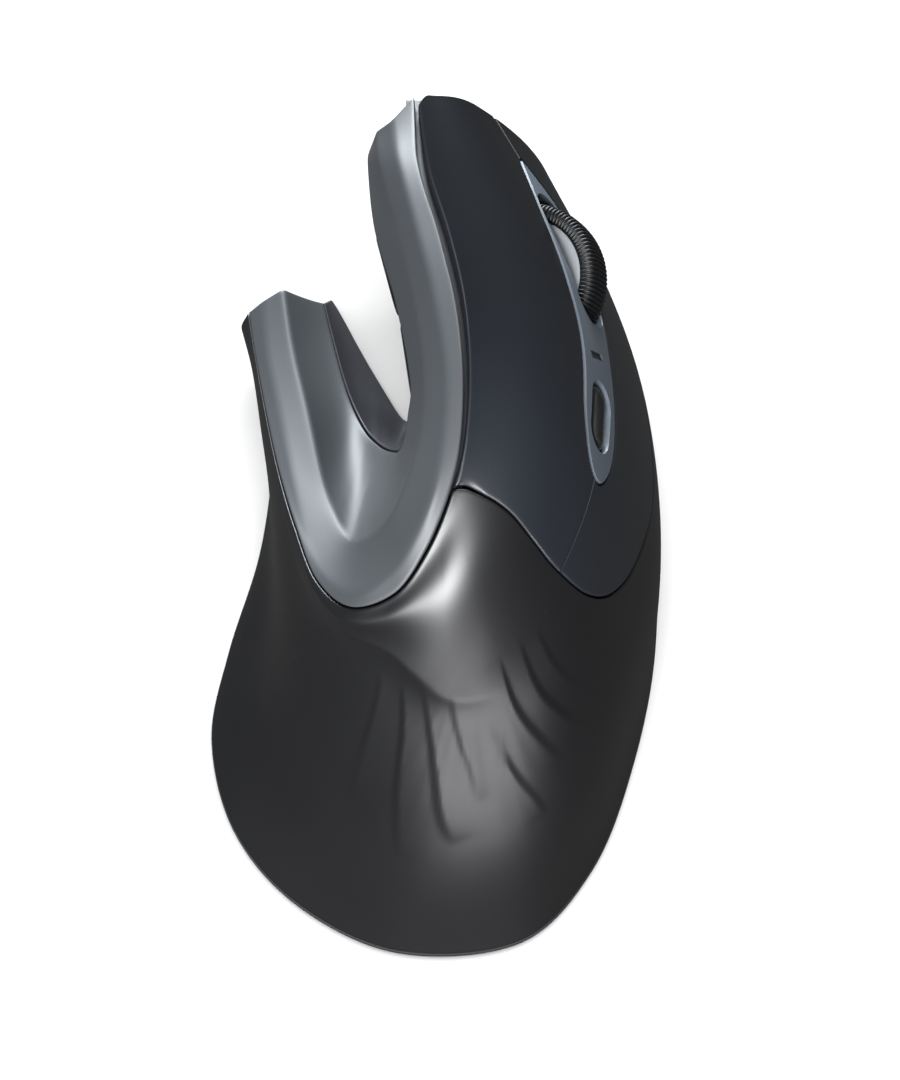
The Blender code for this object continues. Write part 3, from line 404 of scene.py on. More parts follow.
def distance_to_curve(points, outward, curve):
    """Distance of each point from a curve, signed by side, and where along it (0 to 1) is nearest."""
    start, step = curve[:-1], np.diff(curve, axis=0)
    rel = points[:, None] - start[None]
    k = np.clip((rel * step).sum(-1) / (step * step).sum(-1), 0, 1)
    off = rel - k[..., None] * step
    dist = np.linalg.norm(off, axis=-1)
    best = dist.argmin(1)
    row = np.arange(len(points))
    side = (np.cross(step[best], off[row, best]) * outward).sum(-1)
    along = (best + k[row, best]) / len(step)
    return dist[row, best] * np.where(side < 0, -1, 1), along


def curve_on_skin(pairs, count=32):
    path = smooth_through(np.array(pairs), np.linspace(0, len(pairs) - 1, count))
    return plain_skin(path[:, 0], path[:, 1])


def fold_height(points, outward):
    total = np.zeros(len(points))
    for height, reach, pairs in FOLDS:
        d, along = distance_to_curve(points, outward, curve_on_skin(pairs))
        d = d * np.sign(reach)
        taper = np.sin(np.pi * np.clip(along, 0, 1)) ** 0.7
        slope = np.clip(1 - np.where(d > 0, d / abs(reach), -d / STEEP), 0, 1)
        total = np.maximum(total, height * taper * slope**2)
    return total


def shoulder_drop(points, outward):
    """The flank falls away below the shoulder line."""
    d, along = distance_to_curve(points, outward, curve_on_skin(SHOULDER, 64))
    below = np.clip(-d, 0, None) / SKIRT_REACH
    fade = smoothstep(along / 0.35) * smoothstep((0.98 - along) / 0.3)
    return SKIRT_DEPTH * below * np.exp(1 - below) * fade


def collar_bulge(u, s):
    """A rounded ring between the shoulder and the thumb panel."""
    low = np.interp(u, [p[0] for p in SHOULDER], [p[1] for p in SHOULDER])
    across = np.clip((s - low) / (1 - low), 0, 1)
    fade = smoothstep((u - 4.0) / 3.0) * smoothstep((10.6 - u) / 2.2)
    return COLLAR_HEIGHT * np.sin(np.pi * across**1.4) ** 2 * fade


def palm_skin(u, s):
    """Outer skin of the palm shell with its moulded detail."""
    u, s = arrays(u, s)
    points = plain_skin(u, s).reshape(-1, 3)
    outward = normals(plain_skin, u, s).reshape(-1, 3)
    height = fold_height(points, outward) - shoulder_drop(points, outward) + collar_bulge(u, s).ravel()
    return (points + height[:, None] * outward).reshape(u.shape + (3,))


def rounded_panel(u, t):
    """Thumb panel with its two edges rounded over."""
    u, t = arrays(u, t)
    found = panel_bands(u, t)
    for corner in (1.0, 2.0):
        at = panel_bands(u, corner + 0 * t)
        before = 0.45 / np.linalg.norm(at - panel_bands(u, corner - 0.5 + 0 * t), axis=-1)
        after = 0.225 / np.linalg.norm(panel_bands(u, corner + 0.25 + 0 * t) - at, axis=-1)
        k = np.where(t < corner, (t - corner) / before, (t - corner) / after)
        f = ((np.clip(k, -1, 1) + 1) / 2)[..., None]
        a, c = panel_bands(u, corner - before), panel_bands(u, corner + after)
        curve = a * (1 - f) ** 2 + 2 * at * f * (1 - f) + c * f * f
        found = np.where((np.abs(k) < 1)[..., None], curve, found)
    return found


# Seams between the skins, as (station, share). BUTTON_SEAM is smoothed from a separate program's output.

BUTTON_SEAM = [(8.98, 1.0), (9.17, 0.982), (9.4, 0.948), (9.56, 0.908), (9.68, 0.866), (9.77, 0.826),
               (9.86, 0.77), (9.95, 0.695), (10.08, 0.626), (10.25, 0.57), (10.42, 0.524), (10.57, 0.492),
               (10.73, 0.464), (10.9, 0.441), (11.12, 0.418), (11.36, 0.401), (11.6, 0.388),
               (11.84, 0.375), (12.1, 0.36), (12.5, 0.335), (13.0, 0.315), (13.6, 0.305), (14.3, 0.3),
               (15.0, 0.3)]
SPLIT_AT, SKIRT_AT = 8.62, 14.4  # places on it: at the split between the buttons, and low on the right
SEAM, SPLIT, HAIRLINE = 0.13, 0.21, 0.07  # half widths in mm: seams, the buttons' split, and behind the trim
CORNER = 0.16  # how far the left button's front corner is rounded back, in stations


def button_seam(start, end, count):
    """Points on the seam behind and below the finger buttons."""
    return smooth_through(np.array(BUTTON_SEAM), np.linspace(start, end, count))


def line(u0, s0, u1, s1, count):
    f = np.linspace(0, 1, count)
    return np.stack([u0 + (u1 - u0) * f, s0 + (s1 - s0) * f], 1)


def split_line(count):
    """The line between the finger buttons, from their rear edge to the front; the trim lies on it."""
    start = button_seam(SPLIT_AT, SPLIT_AT, 1)[0]
    u = np.linspace(start[0], LAST, count)
    s = smooth_through(np.array([start[1], 0.586, 0.59, 0.596, 0.58, 0.575, 0.59]), np.linspace(0, 6, count))
    return np.stack([u, s], 1)


def palm_piece():
    last = len(BUTTON_SEAM) - 1
    edge = button_seam(0, last, 190)[[0, *range(3, 190)]]
    rim = line(0, 1, edge[0, 0], 1, 200)[[*range(198), 199]]
    high = np.concatenate([rim[:-1], edge])
    foot = np.concatenate([rim[:-1, 0], np.linspace(edge[0, 0], LAST, len(edge))])
    low = np.stack([foot, 0 * foot], 1)
    return moulded("palm_skin", plain_skin, skin_out, palm_skin, low, line(0, 0, 0, 1, 130), high,
                   line(LAST, 0, LAST, SKIRT_TOP, 130), (0, 0.12, SEAM, 0.12), (0.3,) * 4)


def left_button_piece():
    low = split_line(120)
    high = line(BUTTON_SEAM[0][0], 1, LAST - CORNER, 1, 120)
    front = line(LAST, low[-1, 1], LAST, 1, 70)
    front[:, 0] -= CORNER * np.clip((front[:, 1] - 0.93) / 0.07, 0, 1) ** 2
    wide = SPLIT - (SPLIT - HAIRLINE) * smoothstep((TRIM_REAR + 0.4 - low[:, 0]) / 0.3)
    return moulded("left_button_skin", plain_skin, skin_out, plain_skin, low,
                   button_seam(0, SPLIT_AT, 70)[::-1], high, front,
                   (wide, SEAM, 0.15, 0.1), (wide * 2, 0.4, 0.45, 0.3))


def right_button_piece():
    high = split_line(120)
    low = button_seam(SKIRT_AT, len(BUTTON_SEAM) - 1, 120)
    wide = SPLIT - (SPLIT - HAIRLINE) * smoothstep((TRIM_REAR + 0.4 - high[:, 0]) / 0.3)
    return moulded("right_button_skin", plain_skin, skin_out, plain_skin, low,
                   button_seam(SPLIT_AT, SKIRT_AT, 70)[::-1], high, line(LAST, 0.3, LAST, high[-1, 1], 70),
                   (SEAM, SEAM, wide, 0.1), (0.3, 0.4, wide * 2, 0.3))


def trim_outline():
    """The centre trim: round behind, drawn out to a blunt point in front."""
    turn = np.radians(np.linspace(0, 90, 14))
    rear_u, rear_half = TRIM_REAR + 0.59 * (1 - np.cos(turn)), 0.057 * np.sin(turn)
    body = np.linspace(11.85, TRIM_FRONT - 0.03, 46)
    table = np.array(TRIM[2:9])
    u = np.concatenate([rear_u, body])
    half = np.concatenate([rear_half, smooth_half(body, table)])
    mid = smooth_middle(u)
    low = np.stack([u, mid - half], 1)
    high = np.stack([u, mid + half], 1)
    return np.concatenate([low, high[:0:-1]])


def smooth_half(u, table):
    place = np.interp(u, table[:, 0], np.arange(len(table)))
    return np.clip(smooth_through(table[:, 2], place), 0.004, None)


def smooth_middle(u):
    table = np.array(TRIM[1:])
    return smooth_through(table[:, 1], np.interp(u, table[:, 0], np.arange(len(table))))


def trim_prism(name, spread, levels):
    """Prism on the trim's outline: at each level (height, extra spread) a ring, in mm over the plain skin."""
    outline = trim_outline()
    rings = []
    for height, extra in levels:
        loop = loop_inset(plain_skin, outline, -(spread + extra))
        n = normals(plain_skin, loop[:, 0], loop[:, 1])
        rings.append(plain_skin(loop[:, 0], loop[:, 1]) + height * n)
    return stacked(name, rings)


def stacked(name, rings):
    """Closed body from rings of points; each end is a ladder of faces between the ring's two sides."""
    count = len(rings[0])
    last = (len(rings) - 1) * count
    faces = []
    for k in range(len(rings) - 1):
        for i in range(count):
            j = (i + 1) % count
            faces.append((k * count + i, k * count + j, (k + 1) * count + j, (k + 1) * count + i))
    for i in range(count // 2):
        rung = list(dict.fromkeys([i, i + 1, count - i - 1, (count - i) % count]))
        faces += [rung[::-1], [last + m for m in rung]]
    return mesh_object(name, [p for ring in rings for p in ring], faces)


def cut(obj, cutter, operation="DIFFERENCE", sharp=28):
    """Applies a Boolean and removes the cutter."""
    mod = obj.modifiers.new("cut", "BOOLEAN")
    mod.object, mod.operation, mod.solver = cutter, operation, "MANIFOLD"
    made = bpy.data.meshes.new_from_object(obj.evaluated_get(bpy.context.evaluated_depsgraph_get()))
    obj.modifiers.clear()
    obj.data = made
    bpy.data.objects.remove(cutter)
    made.shade_smooth()
    made.set_sharp_from_angle(angle=math.radians(sharp))
    return obj


def panel_piece():
    u = np.linspace(0, LAST, 260)
    low = np.stack([u, 0 * u], 1)
    high = np.stack([u, 3 + 0 * u], 1)
    t = np.concatenate([np.linspace(0, 0.75, 7), np.linspace(0.8, 1.2, 11), np.linspace(1.3, 1.7, 4),
                        np.linspace(1.8, 2.2, 11), np.linspace(2.3, 3, 12)])
    gap = np.interp(u, [0, 8.8, 9.6, 12.5, 14.2, 15], [SEAM, SEAM, 0.35, 1.2, 1.1, 0.35])
    rear = np.stack([0 * t, t], 1)
    front = np.stack([0 * t + LAST, t], 1)
    return moulded("thumb_panel_skin", panel_bands, panel_out, rounded_panel, low, rear, high, front,
                   (gap, 0.12, 0.15, 0.12), (0.4,) * 4)


# Small pieces on the trim and the thumb wall.

def under_skin(u, s, depth=0.0):
    """Frame below the outer skin: z out of the skin, y towards the nose, x down the hand's side."""
    n = Vector(normals(plain_skin, u, s).ravel())
    forward = Vector((plain_skin(u + 0.02, s) - plain_skin(u - 0.02, s)).ravel()).normalized()
    return place(Vector(plain_skin(u, s).ravel()) - n * depth, forward.cross(n), forward)


def place(origin, x, y):
    """Matrix at a point in mm, with its x and y along the given directions."""
    x = Vector(x).normalized()
    z = x.cross(Vector(y)).normalized()
    return Matrix.Translation(Vector(origin) * MM) @ Matrix((x, z.cross(x), z)).transposed().to_4x4()


WHEEL_R, WHEEL_DEPTH, RIB_CORE = 12.5, 8.5, 10.8
WHEEL_AT, DPI_AT, LIGHT_AT = (13.55, 0.576), (11.78, 0.594), (12.42, 0.598)
LIGHT_TURN = 16


def pill(half_width, half_length, count=14):
    """Outline of a round-ended slot along y."""
    turn = np.radians(np.linspace(0, 180, count))
    top = np.stack([half_width * np.cos(turn), half_length - half_width + half_width * np.sin(turn)], 1)
    return np.concatenate([top, -top])


def pill_body(name, frame, half_width, half_length, levels):
    """Body of round-ended rings: each level is (height, extra half width)."""
    rings = []
    for z, extra in levels:
        outline = pill(half_width + extra, half_length + extra)
        rings.append(np.array([(x, y, z) for x, y in outline]))
    obj = stacked(name, rings)
    obj.data.transform(frame)
    return obj


def box_body(name, frame, half_x, half_y, low, high):
    ring = [(half_x, -half_y), (half_x, half_y), (-half_x, half_y), (-half_x, -half_y)]
    obj = stacked(name, [np.array([(x, y, z) for x, y in ring]) for z in (low, high)])
    obj.data.transform(frame)
    return obj


def turned(name, frame, profile, count, ribs=0, rib_depth=0.0, sharp=None):
    """Body turned about the frame's x from a closed profile of (x, radius, rib share)."""
    rings = []
    for k in range(count):
        a = 2 * math.pi * k / count
        valley = rib_depth * (0.5 - 0.5 * math.cos(a * ribs)) ** 2
        ring = []
        for x, r, share in profile:
            span = math.hypot(x, r - RIB_CORE)  # the grooves sink towards the core of the tyre's section
            x, r = x - valley * share * x / span, r - valley * share * (r - RIB_CORE) / span
            ring.append((x, r * math.cos(a), r * math.sin(a)))
        rings.append(ring)
    n = len(profile)
    faces = []
    for k in range(count):
        for i in range(n):
            j, m = (i + 1) % n, (k + 1) % count
            faces.append((k * n + i, k * n + j, m * n + j, m * n + i))
    obj = mesh_object(name, [p for ring in rings for p in ring], faces, sharp)
    obj.data.transform(frame)
    return obj


def tyre_piece():
    side = [(2.2, 9.95, 0), (2.62, 10.0, 0), (2.78, 10.22, 0.1), (2.92, 10.55, 0.8), (3.0, 10.95, 1),
            (2.97, 11.4, 1), (2.8, 11.8, 1), (2.5, 12.12, 1), (2.0, 12.35, 1), (1.3, 12.46, 1),
            (0.6, 12.5, 1), (0, 12.5, 1)]
    profile = side + [(-x, r, rib) for x, r, rib in side[-2::-1]]
    return turned("tyre_ribbed", under_skin(*WHEEL_AT, WHEEL_DEPTH), profile, 116 * 6, 116, 0.34)


def hub_piece():
    side = [(2.35, 1.36, 0), (2.5, 1.6, 0), (2.5, 3.4, 0), (2.2, 4.2, 0), (2.0, 6.0, 0), (2.1, 8.6, 0),
            (2.4, 9.5, 0), (2.3, 9.88, 0), (1.8, 9.9, 0)]
    profile = side + [(-x, r, rib) for x, r, rib in side[::-1]]
    return turned("hub_face", under_skin(*WHEEL_AT, WHEEL_DEPTH), profile, 96, sharp=40)


def trim_piece():
    u = np.linspace(TRIM_REAR - 0.15, TRIM_FRONT + 0.1, 240)
    mid = smooth_middle(u)
    low, high = np.stack([u, mid - 0.1], 1), np.stack([u, mid + 0.1], 1)
    obj = moulded("trim_skin", plain_skin, skin_out, plain_skin, low, line(*low[0], *high[0], 40), high,
                  line(*low[-1], *high[-1], 40), (0, 0, 0, 0), (0.2,) * 4)
    cut(obj, trim_prism("prism", -0.12, [(-4, 0), (-0.3, 0), (0.5, -0.8)]), "INTERSECT")
    slot_half = math.sqrt(WHEEL_R**2 - (WHEEL_DEPTH - WALL) ** 2) + 1.2
    wheel = under_skin(*WHEEL_AT)
    cut(obj, pill_body("slot", wheel, 3.7, slot_half, [(-9, 0), (-0.7, 0), (0.3, 0.7), (3, 2.6)]))
    cut(obj, pill_body("recess", under_skin(*DPI_AT), 2.95, 5.7, [(-5, 0), (-0.45, 0), (2, 1.4)]))
    cut(obj, box_body("slit", light_frame(), 2.1, 0.6, -4, 3))
    return obj


def light_frame():
    return under_skin(*LIGHT_AT) @ Matrix.Rotation(math.radians(LIGHT_TURN), 4, "Z")


def light_piece():
    return box_body("indicator_face", light_frame(), 2.04, 0.54, -1.6, -0.3)


def resolution_piece():
    return pill_body("resolution_key", under_skin(*DPI_AT), 2.7, 5.45,
                     [(-3.2, 0), (-1.3, 0), (-0.95, -0.1), (-0.6, -0.42), (-0.42, -0.8), (-0.38, -1.1),
                      (-0.5, -1.6), (-0.6, -2.1)])


def key_frame(u):
    n = Vector(wall_normals(u, KEY_T).ravel())
    along = Vector((thumb_wall(u + 0.1, KEY_T) - thumb_wall(u - 0.1, KEY_T)).ravel()).normalized()
    return place(thumb_wall(u, KEY_T).ravel(), along.cross(n), along)


KEY_T = 0.17
KEYS = {"forward_key": 12.6, "back_key": 11.3}


def key_piece(name):
    return pill_body(f"{name}_cap", key_frame(KEYS[name]), 2.2, 6.9,
                     [(-2.8, 0), (-0.1, 0), (0.14, -0.1), (0.29, -0.3), (0.35, -0.65), (0.31, -1.2),
                      (0.25, -1.9)])


def wall_piece():
    u = np.linspace(0, LAST, 160)
    low = np.stack([u, 0 * u], 1)
    high = np.stack([u, 1 + 0 * u], 1)
    t = np.linspace(0, 1, 24)
    obj = moulded("thumb_wall_skin", thumb_wall, wall_out, thumb_wall, low, np.stack([0 * t, t], 1), high,
                  np.stack([0 * t + LAST, t], 1), (0.15, 0.12, 0, 0.12), (0.3,) * 4)
    for u in KEYS.values():
        cut(obj, pill_body("slot", key_frame(u), 2.5, 7.2, [(-4, 0), (-0.1, 0), (1.5, 1.2)]))
    return obj


# Pieces that close the body: a cap at each end, and a rib under the gap along the ridge.

def cap_piece(name, station, inner_station, drops):
    """Domed plate inside the shells by the drops (skin, panel, wall)."""
    rows, over, cols = 44, 16, 25
    h = np.linspace(0, 1, rows)

    def ring(u):
        at, few = np.full(rows, u), np.full(over, u)
        left = plain_skin(at, h) - drops[0] * skin_out(at, h)
        right = thumb_wall(at, 1 - h) - drops[2] * wall_out(at, 1 - h)
        t = np.linspace(0.25, 1.4, over)
        top_left = panel_bands(few, t) - drops[1] * panel_out(few, t)
        top_right = panel_bands(few, 3 - t) - drops[1] * panel_out(few, 3 - t)
        b = np.linspace(0, 1, cols)[None, :, None]
        one, other = np.concatenate([left, top_left])[:, None], np.concatenate([right, top_right])[:, None]
        return one * (1 - b) + other * b

    outer, inner = ring(station), ring(inner_station)
    dome = np.sin(np.pi * np.linspace(0, 1, cols)) ** 0.7
    outer = outer + dome[None, :, None] * np.array([0, 0.8, 0])
    return skin_mesh(name, outer, inner, [], rim_indices(*outer.shape[:2]))


def rib_piece():
    u = np.linspace(8.9, LAST - 0.03, 90)
    top = plain_skin(u, 1 + 0 * u)
    down = skin_out(u, 1 + 0 * u)
    across = unit(np.cross(down, np.gradient(top, axis=0)))
    corners = [(-1.6, 2.15), (1.6, 2.15), (1.6, 3.0), (-1.6, 3.0)]
    rings = np.stack([top + a * across - d * down for a, d in corners], 1)
    rings[-1, :, 1] = np.clip(rings[-1, :, 1] + 1.6, None, LIP_Y)
    return stacked("ridge_rib", list(rings))


LIP_Y = 58.2
BASE_Z = (0.9, 2.2)
OPENINGS = [  # x and y of the middle and half sizes: sensor window, power switch, receiver, battery door
    (11.5, 25.0, 3.2, 4.5), (13.0, 16.5, 3.4, 1.4), (-10.6, -26.0, 6.4, 2.7), (8.0, -16.25, 10.5, 27.55),
]
POSTS = [(6.0, 16.5), (20.0, 16.5), (17.5, 35.5)]


def base_piece():
    """Floor of the case with a rounded edge, its openings and the posts under the main board."""
    outer = smooth_through(np.array(BASE_OUT, float), np.linspace(0, LAST, 300))
    inner = smooth_through(np.array(BASE_IN, float), np.linspace(LAST, 0, 300))
    outline = np.concatenate([outer, inner])
    step = np.roll(outline, -1, 0) - np.roll(outline, 1, 0)
    side = np.stack([-step[:, 1], step[:, 0]], 1) / np.linalg.norm(step, axis=1)[:, None]
    low, high = BASE_Z
    rings = []
    for z, inset in ((low, 0.45), (low + 0.13, 0.13), (low + 0.4, 0), (high, 0)):
        ring = outline + side * inset
        rings.append(np.column_stack([ring, np.full(len(ring), z)]))
    plate = stacked("base_plate_smooth", rings)
    for x, y in POSTS:
        post = turned("post", Matrix.Translation((x * MM, y * MM, 0)) @ Matrix.Rotation(-math.pi / 2, 4, "Y"),
                      [(1.5, 0.9, 0), (7.4, 0.9, 0), (7.4, 2.2, 0), (1.5, 2.2, 0)], 24)
        cut(plate, post, "UNION")
    for x, y, half_x, half_y in OPENINGS:
        cut(plate, box_body("opening", Matrix.Translation((x * MM, y * MM, 0)), half_x, half_y, 0, 3))
    return plate


# Materials.

TONE_SPREAD, GLOSS_SPREAD = 0.1, 0.07  # how far the cloudy noise moves the colour and the roughness
CLOUDS_PER_METRE, GRAIN_HEIGHT = 45.0, 0.02 * MM
WEAR_FROM, WEAR_TO, WEAR = 0.6, 0.75, 0.35  # pointiness where wear starts and is full, and its strength
LOOKS = {  # per slot: colour, roughness, specular level, metallic, coat, grain strength, grain size in mm
    "palm": ((0.0026, 0.0026, 0.003), 0.41, 0.42, 0, 0, 0.15, 0.2),
    "button": ((0.0062, 0.0075, 0.01), 0.4, 0.42, 0, 0, 0.15, 0.2),
    "trim": ((0.06, 0.071, 0.085), 0.42, 0.3, 0, 0, 0.2, 0.15),
    "panel": ((0.026, 0.0285, 0.0315), 0.52, 0.36, 0, 0, 0.35, 0.25),
    "wall": ((0.018, 0.018, 0.021), 0.5, 0.2, 0, 0, 0.2, 0.2),
    "dark": ((0.014, 0.014, 0.016), 0.55, 0.2, 0, 0, 0.2, 0.25),
    "tyre": ((0.0022, 0.0024, 0.0027), 0.45, 0.2, 0, 0, 0.3, 0.15),
    "silver": ((0.2, 0.21, 0.22), 0.36, 0.5, 0.3, 0, 0.1, 0.1),
    "gloss": ((0.003, 0.003, 0.0035), 0.2, 0.35, 0, 0.25, 0.02, 0.3),
    "light": ((0.012, 0.013, 0.015), 0.4, 0.3, 0, 0, 0.05, 0.2),
    "metal": ((0.62, 0.62, 0.6), 0.3, 0.5, 1, 0, 0.15, 0.1),
    "cell": ((0.1, 0.25, 0.14), 0.35, 0.5, 0.2, 0.2, 0.05, 0.3),
    "board": ((0.02, 0.12, 0.06), 0.45, 0.4, 0, 0.2, 0.2, 0.4),
    "black": ((0.015, 0.015, 0.017), 0.5, 0.3, 0, 0, 0.2, 0.2),
    "lens": ((0.75, 0.78, 0.8), 0.1, 0.5, 0, 0, 0.02, 0.3),
    "foot": ((0.05, 0.05, 0.055), 0.4, 0.4, 0, 0, 0.1, 0.15),
}


def finish_of(slot):
    """Moulded finish: fine grain in the bump, cloudy tone and gloss, and sharp edges worn a little paler."""
    colour, roughness, specular, metallic, coat, grain, grain_size = LOOKS[slot]
    mat = bpy.data.materials.new(f"{slot}_finish")
    mat.use_nodes = True
    nodes, links = mat.node_tree.nodes, mat.node_tree.links
    shader = nodes["Principled BSDF"]
    shader.inputs["Metallic"].default_value = metallic
    shader.inputs["Coat Weight"].default_value = coat
    shader.inputs["Coat Roughness"].default_value = 0.15
    shader.inputs["Specular IOR Level"].default_value = specular

    def node(kind, **values):
        made = nodes.new(kind)
        for key, value in values.items():
            made.inputs[key].default_value = value
        return made

    where = nodes.new("ShaderNodeTexCoord")
    fine = node("ShaderNodeTexNoise", Scale=1 / (grain_size * MM), Detail=3.0)
    broad = node("ShaderNodeTexNoise", Scale=CLOUDS_PER_METRE, Detail=4.0)
    bump = node("ShaderNodeBump", Strength=grain, Distance=GRAIN_HEIGHT)
    tone = nodes.new("ShaderNodeMix")
    tone.data_type = "RGBA"
    tone.inputs[6].default_value = (*[c * (1 - TONE_SPREAD) for c in colour], 1)
    tone.inputs[7].default_value = (*[c * (1 + TONE_SPREAD) for c in colour], 1)
    edge = nodes.new("ShaderNodeNewGeometry")
    worn = nodes.new("ShaderNodeMapRange")
    worn.inputs["From Min"].default_value = WEAR_FROM
    worn.inputs["From Max"].default_value = WEAR_TO
    worn.inputs["To Min"].default_value = 0.0
    worn.inputs["To Max"].default_value = WEAR
    pale = nodes.new("ShaderNodeMix")
    pale.data_type = "RGBA"
    pale.inputs[7].default_value = (*[min(c * 1.6 + 0.01, 1) for c in colour], 1)
    gloss = nodes.new("ShaderNodeMapRange")
    gloss.inputs["To Min"].default_value = roughness * (1 - GLOSS_SPREAD)
    gloss.inputs["To Max"].default_value = roughness * (1 + GLOSS_SPREAD)
    links.new(where.outputs["Object"], fine.inputs["Vector"])
    links.new(where.outputs["Object"], broad.inputs["Vector"])
    links.new(fine.outputs["Fac"], bump.inputs["Height"])
    links.new(bump.outputs["Normal"], shader.inputs["Normal"])
    links.new(broad.outputs["Fac"], tone.inputs[0])
    links.new(edge.outputs["Pointiness"], worn.inputs["Value"])
    links.new(worn.outputs["Result"], pale.inputs[0])
    links.new(tone.outputs[2], pale.inputs[6])
    links.new(pale.outputs[2], shader.inputs["Base Color"])
    links.new(broad.outputs["Fac"], gloss.inputs["Value"])
    links.new(gloss.outputs["Result"], shader.inputs["Roughness"])
    return mat


# Stage. The camera sees a paler floor and a brighter world than the reflections do.

FLOOR_SEEN, FLOOR_REFLECTED = 0.8, 0.06
WORLD_SEEN, WORLD_REFLECTED = 1.1, 0.1
CAMERA_TARGET = Vector((0.002, -0.0022, 0.025))
CAMERA_ELEVATION, CAMERA_DISTANCE = 70, 0.442

# Area lights: bearing from +Y towards +X, height angle, distance (m), size (m), power (W), colour, and what
# they light.
LIGHTS = [
    ("key", -158, 50, 0.6, (0.32, 0.3), 18, (0.97, 0.985, 1), "object"),
    ("front", -4, 4, 0.4, (0.24, 0.07), 6, (0.88, 0.95, 1), "all but buttons"),
    ("top", 8, 44, 0.7, (0.26, 0.16), 4.2, (0.94, 0.97, 1), "object"),
    ("tail", 168, 4, 0.3, (0.2, 0.05), 0.7, (1, 0.98, 1), "object"),
    ("overhead", 0, 89, 6, (6, 6), 800, (1, 1, 1), "floor"),
]


def linked(obj):
    bpy.context.scene.collection.objects.link(obj)
    return obj


def add_camera():
    data = bpy.data.cameras.new("camera")
    data.lens = 100
    data.sensor_width = 36
    cam = linked(bpy.data.objects.new("camera", data))
    e = math.radians(CAMERA_ELEVATION)
    back = Vector((0, -math.cos(e), math.sin(e)))
    cam.location = CAMERA_TARGET + back * CAMERA_DISTANCE
    cam.rotation_euler = back.to_track_quat("Z", "Y").to_euler()
    bpy.context.scene.camera = cam


def add_light(name, azimuth, elevation, distance, size, power, colour):
    data = bpy.data.lights.new(name, "AREA")
    data.shape = "RECTANGLE"
    data.size, data.size_y = size
    data.energy = power
    data.color = colour
    lamp = linked(bpy.data.objects.new(name, data))
    a, e = math.radians(azimuth), math.radians(elevation)
    away = Vector((math.sin(a) * math.cos(e), math.cos(a) * math.cos(e), math.sin(e)))
    lamp.location = Vector((0, 0, 0.04)) + away * distance
    lamp.rotation_euler = away.to_track_quat("Z", "Y").to_euler()
    return lamp


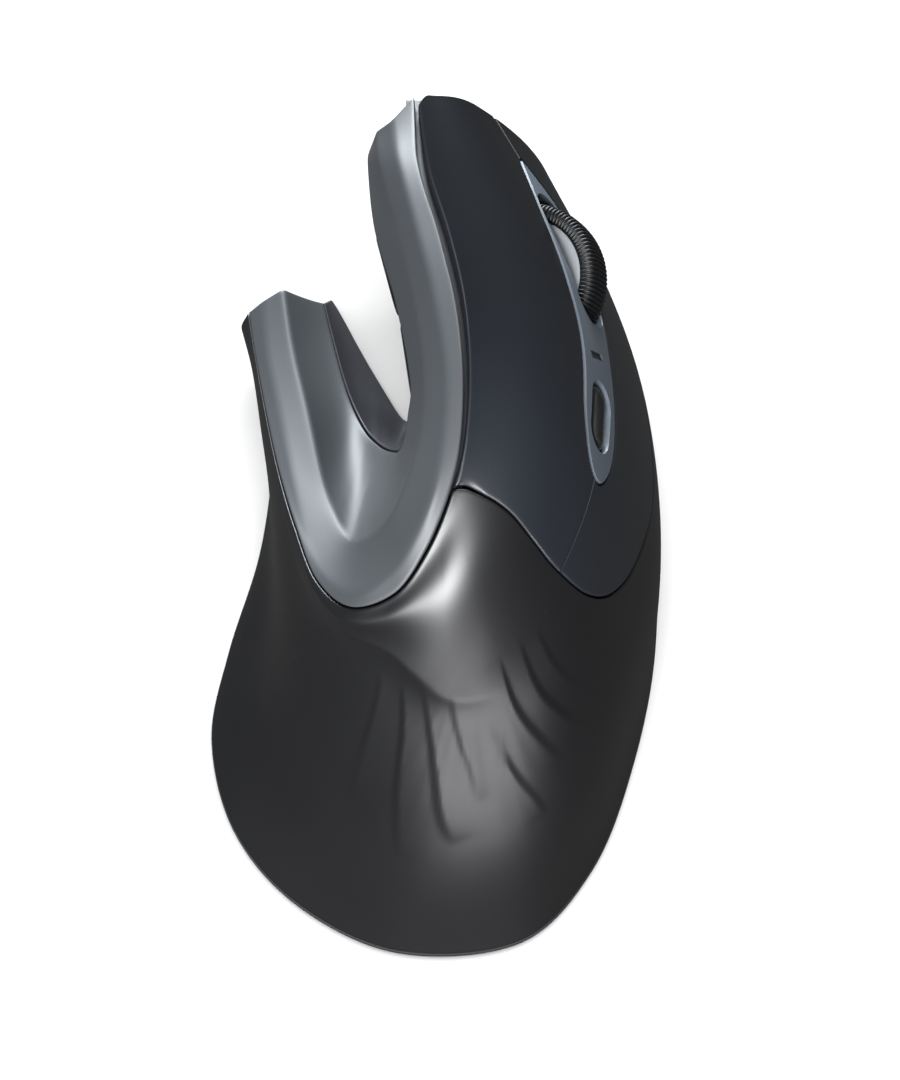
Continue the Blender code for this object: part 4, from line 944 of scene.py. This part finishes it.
def add_stage(made):
    mesh = bpy.data.meshes.new("floor")
    r = 3.0
    mesh.from_pydata([(-r, -r, 0), (r, -r, 0), (r, r, 0), (-r, r, 0)], [], [(0, 1, 2, 3)])
    floor = linked(bpy.data.objects.new("floor", mesh))
    mat = bpy.data.materials.new("floor_pale")
    mat.use_nodes = True
    shader = mat.node_tree.nodes["Principled BSDF"]
    shader.inputs["Roughness"].default_value = 0.9
    mesh.materials.append(mat)
    seen = mat.node_tree.nodes.new("ShaderNodeLightPath")
    tone = mat.node_tree.nodes.new("ShaderNodeMix")
    tone.data_type = "RGBA"
    tone.inputs[6].default_value = (FLOOR_REFLECTED,) * 3 + (1,)
    tone.inputs[7].default_value = (FLOOR_SEEN,) * 3 + (1,)
    mat.node_tree.links.new(seen.outputs["Is Camera Ray"], tone.inputs[0])
    mat.node_tree.links.new(tone.outputs[2], shader.inputs["Base Color"])
    world = bpy.data.worlds.new("studio")
    world.use_nodes = True
    world.node_tree.nodes["Background"].inputs["Color"].default_value = (0.93, 0.96, 1, 1)
    seen = world.node_tree.nodes.new("ShaderNodeLightPath")
    power = world.node_tree.nodes.new("ShaderNodeMapRange")
    power.inputs["To Min"].default_value = WORLD_REFLECTED
    power.inputs["To Max"].default_value = WORLD_SEEN
    world.node_tree.links.new(seen.outputs["Is Camera Ray"], power.inputs["Value"])
    world.node_tree.links.new(power.outputs["Result"], world.node_tree.nodes["Background"].inputs["Strength"])
    bpy.context.scene.world = world
    bpy.context.scene.view_settings.view_transform = "Standard"
    others = [obj for obj in made if "button" not in obj.name]
    groups = {"floor": [floor], "object": made, "all but buttons": others}
    for what, members in groups.items():
        groups[what] = bpy.data.collections.new(f"lit_{what}")
        for obj in members:
            groups[what].objects.link(obj)
    for *settings, what in LIGHTS:
        add_light(*settings).light_linking.receiver_collection = groups[what]


def main():
    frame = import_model()
    nodes = frame["nodes"]
    levels = [(-4, 0), (-0.32, 0), (1, 1.3)]
    pieces = [
        (palm_piece(), "case", "palm_shell"),
        (cut(left_button_piece(), trim_prism("prism", 0.12, levels)), "left_button", "left_button"),
        (cut(right_button_piece(), trim_prism("prism", 0.12, levels)), "right_button", "right_button"),
        (trim_piece(), "case", "centre_trim"),
        (panel_piece(), "case", "thumb_panel"),
        (wall_piece(), "case", "thumb_wall"),
        (cap_piece("wing_cap_dome", 0.06, 0.28, (2.1, 2.1, 2.1)), "case", "wing_cap"),
        (cap_piece("nose_cap_dome", 14.9, 14.75, (3.0, 2.3, 2.1)), "case", "nose_cap"),
        (base_piece(), "case", "base_plate"),
        (tyre_piece(), "scroll_wheel", "wheel_tyre"),
        (hub_piece(), "scroll_wheel", "wheel_hub"),
        (resolution_piece(), "resolution_button", "resolution_button"),
        (light_piece(), "case", "indicator_light"),
        (key_piece("forward_key"), "forward_key", "forward_key"),
        (key_piece("back_key"), "back_key", "back_key"),
    ]
    slots = {part["node"]: part["material_slot"] for part in frame["record"]["subparts"]}
    finishes = {slot: finish_of(slot) for slot in LOOKS}
    for piece, body, node in pieces:
        piece.data.materials.clear()
        piece.data.materials.append(finishes[slots[node]])
        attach(piece, body)
        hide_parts(node)
    rib = rib_piece()
    rib.data.materials.append(finishes["dark"])
    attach(rib, "case")
    for name, node in nodes.items():
        node.material_slots[0].material = finishes[slots[name]]
    add_camera()
    add_stage([piece for piece, *_ in pieces] + [rib] + list(nodes.values()))


main()
